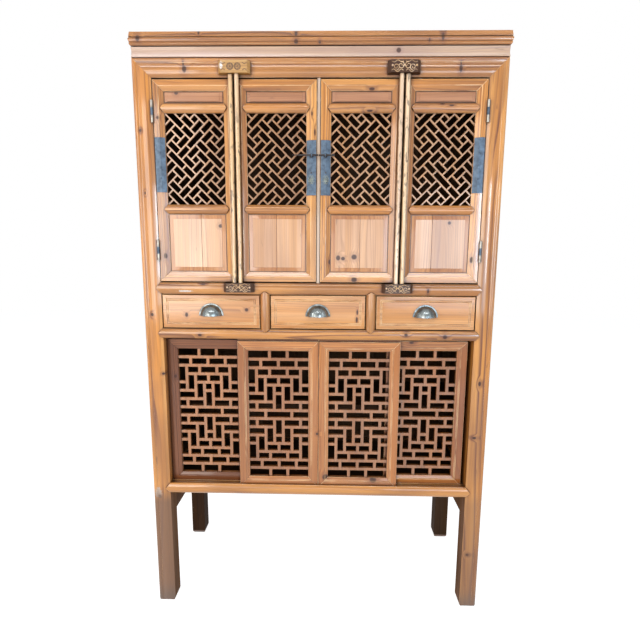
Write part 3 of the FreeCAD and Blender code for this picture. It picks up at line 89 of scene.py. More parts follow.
# A colour mix has its sockets behind those of the number and vector mixes
MIX_SHARE, MIX_FIRST, MIX_SECOND, MIX_RESULT = 0, 6, 7, 2
# Nearly all of a noise lies between these
NOISE_LOW, NOISE_HIGH = 0.25, 0.75


class Tree:
    """The nodes of a material or world, added one by one.

    Inputs are values or other nodes' outputs.
    """

    def __init__(self, owner):
        self.owner = owner
        owner.use_nodes = True
        self.tree = owner.node_tree
        self.tree.nodes.clear()

    def feed(self, socket, value):
        if isinstance(value, bpy.types.NodeSocket):
            self.tree.links.new(value, socket)
        else:
            socket.default_value = value

    def add(self, kind, out=0, settings=None, **inputs):
        """Adds a node, returns an output.

        An input is named by i and its number, or by its name with _ for a space.
        """
        node = self.tree.nodes.new("ShaderNode" + kind)
        for key, value in (settings or {}).items():
            setattr(node, key, value)
        for key, value in inputs.items():
            numbered = key[0] == "i" and key[1:].isdigit()
            self.feed(node.inputs[int(key[1:]) if numbered else key.replace("_", " ")], value)
        return node.outputs[out]

    def math(self, operation, first, second=0.0, third=0.0):
        return self.add("Math", settings={"operation": operation}, i0=first, i1=second, i2=third)

    def vector(self, operation, first, second=(0, 0, 0), out=0):
        return self.add("VectorMath", out, settings={"operation": operation}, i0=first, i1=second)

    def mix(self, share, first, second, blend="MIX"):
        node = self.tree.nodes.new("ShaderNodeMix")
        node.data_type = "RGBA"
        node.blend_type = blend
        for index, value in ((MIX_SHARE, share), (MIX_FIRST, first), (MIX_SECOND, second)):
            self.feed(node.inputs[index], (*value, 1) if isinstance(value, tuple) else value)
        return node.outputs[MIX_RESULT]

    def ramp(self, value, low, high, start=0.0, end=1.0):
        """A smooth step from start, where the value is low, to end, where it is high."""
        return self.add("MapRange", settings={"interpolation_type": "SMOOTHSTEP"},
                        i0=value, i1=low, i2=high, i3=start, i4=end)

    def spread(self, noise, start, end):
        """A noise spread evenly from start to end."""
        return self.add("MapRange", i0=noise, i1=NOISE_LOW, i2=NOISE_HIGH, i3=start, i4=end)

    def largest(self, first, second):
        """The larger of two, or the second where there is no first."""
        return second if first is None else self.math("MAXIMUM", first, second)

    def noise(self, vector, scale, detail=2.0, rough=0.5):
        return self.add("TexNoise", Vector=vector, Scale=scale, Detail=detail, Roughness=rough)

    def stretched(self, vector, stretch, detail=2.0, rough=0.5):
        """A noise with its own number of waves in a metre along each axis."""
        return self.noise(self.vector("MULTIPLY", vector, stretch), 1, detail, rough)

    def streaks(self, grain, along, across, detail=2.0, rough=0.5):
        """A noise drawn out along the grain."""
        return self.stretched(grain, (along, across, across), detail, rough)

    def close(self, surface, kind="Material"):
        output = self.tree.nodes.new("ShaderNodeOutput" + kind)
        self.tree.links.new(surface, output.inputs[0])
        return self.owner


# Woods

# Noises: waves in a metre along and across the grain, detail and roughness
LINE_FADE, LONG_STREAKS, BLOTCHES, FLECKS = (0.7, 34), (0.5, 24), (3, 8), (16, 100)
PORES, FIBRES = (2, 70, 3, 0.6), (8, 480, 3, 0.6)
CHIPS, CHIPPED_PATCHES, RUBBED_AND_LIT_PATCHES = (38, 130, 2, 0.6), (4, 8, 1), (9, 40, 3, 0.65)
# Noises that don't follow the grain: waves in a metre along X, Y and Z, detail and roughness
RAGGED_EDGE, SCRATCHES = ((230, 60, 230), 3, 0.7), ((900, 900, 60), 2, 0.6)
# Growth lines: stretch along the grain, direction across them, waves and size of their bends, and
# how far a knot pushes them aside
LINE_STRETCH, LINE_ACROSS = (0.09, 1, 1), (0, 0.86, 0.51)
BEND_WAVES, BEND_SIZE, KNOT_PUSH = 11, 0.075, 0.006
# Where in its pitch a line starts to show, is darkest and ends
LINE_START, LINE_DARKEST, LINE_END = 0.45, 0.92, 1.0
# Shares of the pores and of the fibres in a board's figure
PORE_SHARE, FIBRE_SHARE = 0.34, 0.22
# The plane of the photographed spots, and how far they reach into the wood, in metres
SPOT_PLANE, SPOT_DEPTH = -0.205, 0.045
KNOT_RIM, KNOT_CORE = (0.11, 0.035, 0.02), (0.050, 0.017, 0.008)
# What a board's colour is multiplied by, from tint 0 to tint 1
DARK_BOARD, PALE_BOARD = (0.76, 0.70, 0.65), (1.20, 1.26, 1.32)
# The share of the light colour that is left in its deeper streaks
DEEPER = (0.88, 0.76, 0.50)
FLECK_COLOUR = (0.09, 0.035, 0.014)
WORN_THROUGH = (0.05, 0.03, 0.02)
# The pale colour of eased edges: wear from rubbing and a painted highlight
RUBBED_AND_LIT_EDGE = (0.80, 0.52, 0.27)
# Painted shade: its near black colour deep in corners
CORNER_SHADE_COLOUR = (0.030, 0.009, 0.003)
# Painted shade in corners: how far, in metres, another face counts as a corner that is shaded, and
# how much of the wood round the corner the shade darkens
SHADE_REACH, SHADE_DARKENING = 0.016, 0.55
# The share of the coat that is gone over knots and over the painted corner shade
DULLED = 0.9
# Heights in metres between which the legs turn brown, and under which their feet are soiled
LEG_PALE, LEG_BROWN, FOOT_SOILED = 0.44, 0.37, 0.09
LEG_COLOUR, FOOT_COLOUR = (0.15, 0.065, 0.028), (0.09, 0.055, 0.038)
# How much browner a leg is for each metre to the left, and the share of soil at the floor
BROWNER_LEFT, FOOT_SHARE = 0.5, 0.75
# How far a mark's edge wanders in and out in all, in half sizes of the mark
RAGGEDNESS = 1.6
# Heights of the growth lines and of the fibres in the bump
LINE_HEIGHT, FIBRE_HEIGHT = -0.5, 0.4
# How much brighter a metal's scratches are
BRIGHTER = 1.7
WOOD_BUMP = dict(Strength=0.35, Distance=0.0005)
METAL_BUMP = dict(Strength=0.3, Distance=0.0003)


def spot_distance(t, place, x, z, width, tall):
    """How far a point is from a spot's middle, 1 at its edge; its sizes are in millimetres."""
    away = t.vector("SUBTRACT", place, (x, SPOT_PLANE, z))
    away = t.vector("MULTIPLY", away, (2000 / width, 1 / SPOT_DEPTH, 2000 / tall))
    return t.vector("LENGTH", away, out="Value")


def knots_and_swirl(t, place, knots):
    """The share of the dark knots and that of the bent grain round them; None without knots."""
    knot = swirl = None
    for row in knots:
        distance = spot_distance(t, place, *row)
        knot = t.largest(knot, t.ramp(distance, 1.7, 0.4))
        swirl = t.largest(swirl, t.ramp(distance, 4.5, 0.8))
    return knot, swirl


def growth_lines(t, grain, swirl, pitch):
    """Dark lines along the grain, a pitch apart, that bend, fade in slowly and end sharply."""
    slow = t.vector("MULTIPLY", grain, LINE_STRETCH)
    course = t.math("MULTIPLY_ADD", t.noise(slow, BEND_WAVES), BEND_SIZE,
                    t.vector("DOT_PRODUCT", slow, LINE_ACROSS, "Value"))
    if swirl is not None:
        course = t.math("MULTIPLY_ADD", swirl, KNOT_PUSH, course)
    phase = t.math("FRACT", t.math("MULTIPLY", course, 1 / pitch))
    line = t.math("MULTIPLY", t.ramp(phase, LINE_START, LINE_DARKEST),
                  t.ramp(phase, LINE_END, LINE_DARKEST))
    return t.math("MULTIPLY", line, t.ramp(t.streaks(grain, *LINE_FADE), 0.38, 0.64, 0.1, 1.0))


def board_colour(t, grain, line, fibres, lines, light, dark):
    """The wood's colour from its growth lines, pores, fibres, streaks and the board's own tint."""
    pores = t.math("MULTIPLY_ADD", t.ramp(t.streaks(grain, *PORES), 0.38, 0.70), PORE_SHARE,
                   t.math("MULTIPLY", t.ramp(fibres, 0.35, 0.8), FIBRE_SHARE))
    figure = t.math("MULTIPLY_ADD", line, lines, pores)
    deep = tuple(value * share for value, share in zip(light, DEEPER))
    ground = t.mix(t.ramp(t.streaks(grain, *LONG_STREAKS), 0.40, 0.60), light, deep)
    tint = t.add("Attribute", "Fac", settings={"attribute_name": "tint"})
    return t.mix(1.0, t.mix(figure, ground, dark), t.mix(tint, DARK_BOARD, PALE_BOARD), "MULTIPLY")


def with_leg_tone(t, colour, place, foot):
    """The legs turn brown below the case, the left one more, and their feet are soiled."""
    rise = t.vector("DOT_PRODUCT", place, (0, 0, 1), "Value")
    leftwards = t.vector("DOT_PRODUCT", place, (-BROWNER_LEFT, 0, 0), "Value")
    brown = t.math("MULTIPLY", t.ramp(rise, LEG_PALE, LEG_BROWN), t.math("ADD", leftwards, foot))
    soiled = t.ramp(rise, FOOT_SOILED, 0.0, 0.0, FOOT_SHARE)
    return t.mix(soiled, t.mix(brown, colour, LEG_COLOUR), FOOT_COLOUR)


def wood(name, light, dark, knots=(), coat=0.9, rough=0.34, lines=0.55, pitch=0.0062, wear=0.0,
         corner_shade=0.9, gloss_level=0.5, foot=0.0, marks=(), rubbed_and_lit_edge=None):
    """Varnished fir.

    light, dark: the colours between the growth lines and on them
    lines, pitch: strength and distance of the growth lines
    wear: share of the chipped patches; grime: painted shade in the corners; foot: how brown the
    legs are
    marks: stains, bare spots and a painted highlight as rows of x, z, width, height and colour
    rubbed: the colour of the pale eased edges, partly wear from rubbing and partly a painted
    highlight
    """
    t = Tree(bpy.data.materials.new(name))
    grain = t.add("Attribute", "Vector", settings={"attribute_name": "grain"})
    place = t.add("TexCoord", "Object")
    knot, swirl = knots_and_swirl(t, place, knots)
    line = growth_lines(t, grain, swirl, pitch)
    fibres = t.streaks(grain, *FIBRES)
    blotch = t.streaks(grain, *BLOTCHES)
    colour = board_colour(t, grain, line, fibres, lines, light, dark)
    colour = t.mix(t.ramp(blotch, 0.42, 0.72, 0.0, 0.45), colour, dark)
    colour = t.mix(t.ramp(t.streaks(grain, *FLECKS), 0.70, 0.78, 0.0, 0.55), colour, FLECK_COLOUR)
    dull = None
    if knots:
        dull = t.ramp(knot, 0.4, 0.8, 0.0, 0.95)
        colour = t.mix(t.ramp(swirl, 0.25, 0.9, 0.0, 0.4), colour, dark)
        colour = t.mix(t.ramp(knot, 0.1, 0.6, 0.0, 0.8), colour, KNOT_RIM)
        colour = t.mix(dull, colour, KNOT_CORE)
    for *spot, shade in marks:
        ragged = t.math("MULTIPLY_ADD", t.stretched(place, *RAGGED_EDGE), -RAGGEDNESS,
                        t.math("ADD", spot_distance(t, place, *spot), RAGGEDNESS / 2))
        colour = t.mix(t.ramp(ragged, 1.0, 0.65, 0.0, 0.85), colour, shade)
    if wear:
        chips = t.math("MULTIPLY", t.ramp(t.streaks(grain, *CHIPS), 0.54, 0.62),
                       t.ramp(t.streaks(grain, *CHIPPED_PATCHES), 0.38, 0.56))
        colour = t.mix(t.math("MULTIPLY", chips, wear), colour, WORN_THROUGH)
    if foot:
        colour = with_leg_tone(t, colour, place, foot)
    # Painted shade: near other faces the wood is darkened towards its dark colour, deep in corners
    # near black
    if corner_shade:
        open_share = t.add("AmbientOcclusion", "AO", settings={"samples": 6}, Distance=SHADE_REACH)
        shade_share = t.ramp(open_share, 0.84, 0.36, 0.0, corner_shade)
        colour = t.mix(t.ramp(open_share, 0.99, 0.74, 0.0, SHADE_DARKENING * corner_shade), colour, dark)
        colour = t.mix(shade_share, colour, CORNER_SHADE_COLOUR)
        dull = t.largest(dull, shade_share)
    # Eased edges lightened in patches: partly wear from rubbing, partly a painted highlight
    if rubbed_and_lit_edge:
        edge = t.add("Attribute", "Fac", settings={"attribute_name": "edge"})
        patches = t.ramp(t.streaks(grain, *RUBBED_AND_LIT_PATCHES), 0.40, 0.62, 0.1, 0.85)
        colour = t.mix(t.math("MULTIPLY", edge, patches), colour, rubbed_and_lit_edge)
    sheen = coat
    if coat and dull is not None:
        sheen = t.math("MULTIPLY_ADD", dull, -DULLED * coat, coat)
    height = t.math("MULTIPLY_ADD", line, LINE_HEIGHT, t.math("MULTIPLY", fibres, FIBRE_HEIGHT))
    return t.close(t.add(
        "BsdfPrincipled", Base_Color=colour, Roughness=t.spread(blotch, rough - 0.05, rough + 0.1),
        Normal=t.add("Bump", Height=height, **WOOD_BUMP), Coat_Weight=sheen, Coat_Roughness=0.08,
        Specular_IOR_Level=gloss_level))


def metal(name, colour, stain, rough, metallic, scale=60.0):
    """Worn metal: stains, scale waves in a metre, and brushed scratches."""
    t = Tree(bpy.data.materials.new(name))
    place = t.add("TexCoord", "Object")
    cloud = t.noise(place, scale, 4, 0.6)
    scratch = t.stretched(place, *SCRATCHES)
    bright = tuple(min(1.0, value * BRIGHTER) for value in colour)
    mixed = t.mix(t.ramp(cloud, 0.35, 0.72), colour, stain)
    mixed = t.mix(t.ramp(scratch, 0.62, 0.8, 0.0, 0.35), mixed, bright)
    return t.close(t.add(
        "BsdfPrincipled", Base_Color=mixed, Metallic=metallic,
        Roughness=t.spread(cloud, rough - 0.1, rough + 0.18),
        Normal=t.add("Bump", Height=cloud, **METAL_BUMP)))


# Photographed knots: x and z in metres, width and height of the dark spot in millimetres
CASE_KNOTS = [
    (-0.393, 1.738, 12, 18), (-0.396, 1.753, 5, 14), (0.409, 1.738, 9, 20), (0.409, 1.752, 4, 14),
    (0.353, 1.821, 8, 20), (-0.524, 1.819, 11, 16), (-0.347, 1.834, 5, 12), (-0.066, 1.830, 8, 13),
    (-0.066, 1.809, 11, 12), (0.002, 1.8075, 7, 8), (0.315, 1.812, 5, 9), (-0.532, 1.568, 7, 9),
    (-0.527, 1.387, 5, 8), (-0.524, 1.014, 9, 10), (-0.498, 0.821, 8, 7), (0.517, 0.800, 8, 14),
    (0.510, 0.618, 12, 8), (0.510, 0.201, 10, 9), (-0.359, 1.112, 14, 7), (0.341, 1.095, 6, 14),
    (-0.374, 0.950, 12, 8), (0.278, 0.956, 11, 8), (0.400, 0.951, 13, 13),
]
BAND_KNOTS = [(0.229, 1.787, 12, 12)]
DOOR_KNOTS = [
    (-0.479, 1.605, 10, 8), (-0.474, 1.198, 10, 15), (0.037, 1.182, 9, 14), (0.155, 1.685, 15, 7),
    (0.112, 1.128, 16, 14), (0.471, 1.191, 9, 18), (0.362, 1.643, 13, 5), (0.388, 1.638, 13, 5),
    (0.150, 1.624, 16, 5), (-0.011, 1.563, 4, 18), (-0.020, 1.616, 4, 12),
]
PANEL_KNOTS = [
    (-0.422, 1.675, 11, 10), (-0.300, 1.290, 12, 10), (0.062, 1.195, 12, 14),
    (0.077, 1.193, 11, 10), (0.111, 1.198, 15, 14), (0.399, 1.302, 9, 9),
]
DRAWER_KNOTS = [
    (-0.416, 1.014, 9, 13), (-0.225, 1.031, 10, 10), (0.123, 1.002, 6, 17), (0.124, 1.026, 5, 16),
]
LOWER_KNOTS = [
    (-0.471, 0.804, 11, 15), (0.303, 0.925, 16, 10), (0.187, 0.460, 20, 16), (0.027, 0.468, 17, 17),
    (0.0, 0.620, 8, 8),
]
# Stains and bare spots, measured alike, with their colours
CASE_MARKS = [
    (-0.5330, 0.4080, 26, 44, (0.50, 0.40, 0.33)), (-0.5290, 0.3950, 13, 20, (0.07, 0.045, 0.035)),
    (-0.4160, 1.0895, 52, 7, (0.66, 0.60, 0.55)), (-0.2427, 0.6519, 9, 9, (0.70, 0.66, 0.60)),
]
# A painted highlight on the pale block's left end, measured alike
BLOCK_HIGHLIGHT_MARKS = [(-0.2820, 1.7420, 16, 26, (0.80, 0.80, 0.80))]

honey = wood("honey_fir", (0.60, 0.255, 0.055), (0.15, 0.040, 0.008), CASE_KNOTS, lines=0.75,
             gloss_level=0.3, pitch=0.011, foot=0.64, marks=CASE_MARKS, rubbed_and_lit_edge=RUBBED_AND_LIT_EDGE)
door_wood = wood("door_fir", (0.60, 0.262, 0.066), (0.15, 0.043, 0.010), DOOR_KNOTS, lines=0.65,
                 pitch=0.009, gloss_level=0.3, rubbed_and_lit_edge=RUBBED_AND_LIT_EDGE)
panel_wood = wood("panel_fir", (0.66, 0.36, 0.18), (0.29, 0.12, 0.048), PANEL_KNOTS, lines=0.4,
                  pitch=0.0058, corner_shade=0.8)
drawer_wood = wood("drawer_fir", (0.66, 0.315, 0.105), (0.28, 0.09, 0.024), DRAWER_KNOTS,
                   lines=0.45, coat=0.8, pitch=0.008, corner_shade=0.8, gloss_level=0.3, rubbed_and_lit_edge=RUBBED_AND_LIT_EDGE)
lower_wood = wood("lower_fir", (0.52, 0.205, 0.060), (0.17, 0.045, 0.012), LOWER_KNOTS, coat=0.8,
                  pitch=0.008, gloss_level=0.3, rubbed_and_lit_edge=RUBBED_AND_LIT_EDGE)
lower_dark = wood("lower_dark", (0.25, 0.085, 0.03), (0.09, 0.025, 0.009), LOWER_KNOTS, coat=0.6,
                  pitch=0.0055, gloss_level=0.2)
low_lattice = wood("low_lattice_fir", (0.44, 0.180, 0.068), (0.12, 0.040, 0.013), corner_shade=1.0,
                   lines=0.3)
lattice_wood = wood("lattice_fir", (0.48, 0.245, 0.110), (0.15, 0.058, 0.022), corner_shade=1.0, lines=0.3)
# Painted shade: the sloped border round a panel's field is darker than the field
border_wood = wood("border_fir", (0.58, 0.26, 0.09), (0.26, 0.085, 0.025), lines=0.5, pitch=0.0095)
small_wood = wood("small_panel_fir", (0.50, 0.225, 0.10), (0.22, 0.075, 0.028), PANEL_KNOTS,
                  lines=0.6)
side_wood = wood("side_fir", (0.66, 0.31, 0.11), (0.30, 0.10, 0.03), lines=0.5, pitch=0.0095,
                 coat=0.8)
rod_wood = wood("rod_fir", (0.74, 0.52, 0.34), (0.40, 0.22, 0.11), wear=0.7, corner_shade=0.25)
# Painted highlight: the centre stile is pale for the highlight along it
strip_highlight_wood = wood("strip_fir", (0.56, 0.43, 0.34), (0.36, 0.23, 0.15), lines=0.4, corner_shade=0.5)
# Painted reflection: the waist band's pale, bluish colour stands for a window's sheen on it
band_sheen_wood = wood("band_fir", (0.54, 0.39, 0.35), (0.30, 0.18, 0.15), BAND_KNOTS, coat=0.4,
                 rough=0.4)
block_dark = wood("block_dark", (0.08, 0.034, 0.016), (0.03, 0.012, 0.006), coat=0.3, rough=0.5,
                  gloss_level=0.2)
carved = wood("carved_wood", (0.72, 0.48, 0.28), (0.34, 0.18, 0.08), coat=0.8, rough=0.3, corner_shade=0.4)
block_pale = wood("block_pale", (0.62, 0.37, 0.13), (0.30, 0.14, 0.04), coat=0.35, rough=0.4,
                  marks=BLOCK_HIGHLIGHT_MARKS)
block_line = wood("block_line", (0.14, 0.06, 0.02), (0.05, 0.02, 0.01), coat=0.35, rough=0.4)
# Painted shade: the wood inside the closed case is near black, for the shade in it
inside_wood = wood("inside_fir", (0.055, 0.028, 0.014), (0.024, 0.011, 0.006), coat=0.0, rough=0.7,
                   gloss_level=0.1, corner_shade=0.0)
# Painted shade: faces that look under the case, towards its middle and back, are dark brown
under_wood = wood("under_fir", (0.20, 0.10, 0.055), (0.08, 0.035, 0.018), coat=0.0, rough=0.75,
                  gloss_level=0.1)
back_wood = wood("back_fir", (0.36, 0.19, 0.085), (0.16, 0.065, 0.025), coat=0.1, rough=0.6,
                 pitch=0.012, gloss_level=0.2)
plate_steel = metal("plate_steel", (0.092, 0.130, 0.178), (0.055, 0.075, 0.105), rough=0.48,
                    metallic=0.55, scale=90.0)
pin_iron = metal("pin_iron", (0.05, 0.043, 0.042), (0.03, 0.019, 0.016), rough=0.55, metallic=0.5)
pewter = metal("pull_pewter", (0.24, 0.265, 0.265), (0.08, 0.09, 0.09), rough=0.24, metallic=0.95)
rose_brass = metal("rose_brass", (0.27, 0.28, 0.22), (0.10, 0.12, 0.11), rough=0.45, metallic=0.7,
                   scale=160.0)
nickel = metal("hinge_nickel", (0.42, 0.39, 0.34), (0.20, 0.17, 0.14), rough=0.38, metallic=0.9)


# Pieces made from the solids, with eased edges and their own grain

# In a metre: corners less than one apart are the same
MICROMETRES = 1e6
# Degrees: faces that meet flatter are one, and edges that are sharper are eased
FLAT_ANGLE, SHARP_ANGLE = 0.4, 22.0
EDGE_SEGMENTS, EDGE_PROFILE = 2, 0.6
# Rounding of edges, and the open seam between the boards of a door's panel, in metres
USUAL_EDGE = 0.0008
METAL_EDGE = 0.0003
SEAM = 0.0007
# Metres of pattern in which the parts have their places
PATTERN_SPAN = 9
# Parts that reach less than this along the axis asked for have their grain the longest way, and
# parts lower than this aren't cut into boards from left to right
LONG_ENOUGH = 0.1
# A frame's part at least this tall is a stile
STILE_LENGTH = 0.4
# The doors' small panels are above this height
SMALL_PANELS = 1.6
# Corners of the closed room in the case
CASE_LOW, CASE_HIGH = (-0.536, -0.160, 0.42), (0.536, 0.203, 1.80)
UNDERSIDE = CASE_LOW[Z]
# How much a face's normal points into the case, towards its middle, and back
INTO_CASE, INWARDS, BACKWARDS = 0.02, 0.6, 0.7
# Normals along Y between that of a panel's field and its back
FIELD_NORMAL, BACK_NORMAL = -0.9995, 0.5


def solids(node):
    """The node's closed solids, each a list of faces given by corner points."""
    mesh = nodes[node].data
    found, faces, open_edges = [], [], set()
    keys = [tuple(round(value * MICROMETRES) for value in vertex.co) for vertex in mesh.vertices]
    for polygon in mesh.polygons:
        corners = [keys[index] for index in polygon.vertices]
        faces.append([(keys[index], mesh.vertices[index].co.copy()) for index in polygon.vertices])
        for start, end in zip(corners, corners[1:] + corners[:1]):
            open_edges ^= {(min(start, end), max(start, end))}
        if not open_edges:
            found.append(faces)
            faces = []
    if faces:
        found.append(faces)
    return found


def part_mesh(faces):
    part = bmesh.new()
    part.faces.layers.float.new("edge")
    points = {}
    for face in faces:
        for key, place in face:
            if key not in points:
                points[key] = part.verts.new(place)
        corners = [points[key] for key, place in face]
        if len(set(corners)) > 2 and not part.faces.get(corners):
            part.faces.new(corners)
    part.normal_update()
    return part


def extent(part):
    """A part's lowest places, highest places and sizes, each along X, Y and Z."""
    lows, highs = ([pick(vertex.co[axis] for vertex in part.verts) for axis in range(3)]
                   for pick in (min, max))
    return lows, highs, [high - low for low, high in zip(lows, highs)]


def cut_flat(part, place, normal, **options):
    """Cuts a part's faces along a plane; with clear_outer, what lies past it goes."""
    return bmesh.ops.bisect_plane(part, geom=part.verts[:] + part.edges[:] + part.faces[:],
                                  plane_co=place, plane_no=normal, **options)


def split(part, axis, places, seam=0.0):
    """Cuts a part into boards at places along an axis, a seam apart; returns the boards."""
    pieces = []
    normal = Vector([float(each == axis) for each in range(3)])
    for before, after in zip([None, *places], [*places, None]):
        board = part.copy()
        for place, side in ((before, -1), (after, 1)):
            if place is None:
                continue
            place -= side * seam / 2
            cut = cut_flat(board, normal * place, normal * side, clear_outer=True)
            rim = [item for item in cut["geom_cut"] if isinstance(item, bmesh.types.BMEdge)]
            bmesh.ops.holes_fill(board, edges=rim)
        pieces.append(board)
    return pieces


def sort_faces(part):
    """Puts faces in the same order in each run, after a cut that doesn't."""
    ordered = sorted(part.faces, key=lambda face: tuple(face.calc_center_median()))
    for index, face in enumerate(ordered):
        face.index = index
    part.faces.sort()


def ease(part, width):
    """Rounds the sharp edges and marks the new faces, shown pale as wear and as a painted
    highlight.
    """
    bmesh.ops.dissolve_limit(part, angle_limit=math.radians(FLAT_ANGLE), verts=part.verts,
                             edges=part.edges)
    edges = [edge for edge in part.edges
             if len(edge.link_faces) == 2 and edge.calc_face_angle(0) > math.radians(SHARP_ANGLE)]
    eased = bmesh.ops.bevel(part, geom=edges, offset=width, segments=EDGE_SEGMENTS,
                            profile=EDGE_PROFILE, affect="EDGES", clamp_overlap=True)
    worn_and_lit = part.faces.layers.float["edge"]
    for face in eased["faces"]:
        face[worn_and_lit] = 1.0


# Tests of a face, for pieces of more than one wood; the finest solid of a piece has the most faces

def faces_inside(face, finest):
    """Whether a face looks into the closed case, whose wood is painted near black as shade."""
    middle = face.calc_center_median()
    within = all(low < value < high for low, value, high in zip(CASE_LOW, middle, CASE_HIGH))
    return within and face.normal.dot(Vector((0, 0, middle.z)) - middle) > INTO_CASE


def looks_under(face, finest):
    """Whether a leg's face looks under the case, to the middle or the back; painted dark as shade.
    """
    middle = face.calc_center_median()
    inwards = face.normal.x * middle.x < -INWARDS * abs(middle.x)
    return middle.z < UNDERSIDE and (inwards or face.normal.y > BACKWARDS)


def is_finest(face, finest):
    return finest


def is_small_panel(face, finest):
    return face.calc_center_median().z > SMALL_PANELS


def is_border(face, finest):
    """Whether a panel's face is on the slope or the step round its field, painted darker as shade.
    """
    return FIELD_NORMAL < face.normal.y < BACK_NORMAL


def part_shade(part, shades):
    """A part's tint from shades: the same for all parts, or by the part's place.

    For the second, shades has a place along X, the tints of the stiles left and right of it, and
    that of the rails.
    """
    if not isinstance(shades, tuple):
        return shades
    middle, left, right, rails = shades
    lows, highs, sizes = extent(part)
    if sizes[Z] < STILE_LENGTH:
        return rails
    return right if lows[X] + highs[X] > 2 * middle else left


def new_whole():
    whole = bmesh.new()
    whole.verts.layers.float_vector.new("grain")
    whole.verts.layers.float.new("tint")
    whole.faces.layers.float.new("edge")
    return whole


def add_part(whole, part, along=None, shade=None):
    """Adds a part to a piece with its own grain direction, place in the pattern and tint.

    The grain runs the part's longest way, or along the axis asked for where the part is long
    enough.
    """
    grain = whole.verts.layers.float_vector["grain"]
    tint = whole.verts.layers.float["tint"]
    sizes = extent(part)[2]
    order = sorted(range(3), key=lambda axis: -sizes[axis])
    offset = Vector([luck.uniform(0, PATTERN_SPAN) for axis in range(3)])
    if along is not None and sizes[along] > LONG_ENOUGH:
        order = [along] + [axis for axis in order if axis != along]
    if shade is None:
        shade = luck.random()
    worn_and_lit = part.faces.layers.float.get("edge")
    edge = whole.faces.layers.float["edge"]
    fresh = {}
    for vertex in part.verts:
        made = whole.verts.new(vertex.co)
        made[grain] = Vector([vertex.co[axis] for axis in order]) + offset
        made[tint] = shade
        fresh[vertex] = made
    for face in part.faces:
        made = whole.faces.new([fresh[vertex] for vertex in face.verts])
        made.smooth = True
        made.material_index = face.material_index
        if worn_and_lit:
            made[edge] = face[worn_and_lit]
    part.free()


def finish_piece(whole, name, material, slot, body, *replaced):
    mesh = bpy.data.meshes.new(name)
    whole.to_mesh(mesh)
    whole.free()
    mesh.materials.append(material)
    piece = add_object(name, mesh)
    if replaced:
        weighted = piece.modifiers.new("weighted", "WEIGHTED_NORMAL")
        weighted.keep_sharp = False
        weighted.weight = 100
        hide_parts(*replaced)
    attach(piece, body)
    return piece


def dress(node, material, slot, width=USUAL_EDGE, along=None, boards=None, name=None, others=(),
          shades=None, level=None, fine_width=None):
    """A piece that stands for a CAD node: the same solids, eased, as boards with their own grain.

    width, fine_width: the rounding of the edges, and that of the finest solid where it has its own
    along: the axis of the grain
    boards: the axis, the places and the seam at which the parts are cut into boards
    others: pairs of a further material and the test of the faces that get it
    shades: the tints, some painted light, as part_shade takes them; drawn by luck without them
    level: a height at which faces end, so that a test can tell those below from those above
    """
    whole = new_whole()
    found = solids(node)
    most = max(len(faces) for faces in found)
    for faces in found:
        finest = len(faces) == most
        part = part_mesh(faces)
        cut = boards and (extent(part)[2][Z] > LONG_ENOUGH or boards[0] == Y)
        for board in split(part, *boards) if cut else [part]:
            ease(board, fine_width if fine_width and finest else width)
            if level:
                cut_flat(board, (0, 0, level), (0, 0, 1))
                sort_faces(board)
            board.normal_update()
            for index, (other, test) in enumerate(others, start=1):
                for face in board.faces:
                    if test(face, finest):
                        face.material_index = index
            add_part(whole, board, along, part_shade(board, shades))
        if cut:
            part.free()
    piece = finish_piece(whole, name or node + "_wood", material, slot, body_of[node], node)
    for other, test in others:
        piece.data.materials.append(other)


inside = [(inside_wood, faces_inside)]
under = [(under_wood, looks_under)]
SIDE_BOARDS, TOP_BOARDS = (Y, [-0.06, 0.05]), (Y, [-0.07, 0.04])
BACK_BOARDS = (X, [-0.40, -0.24, -0.09, 0.07, 0.22, 0.37])

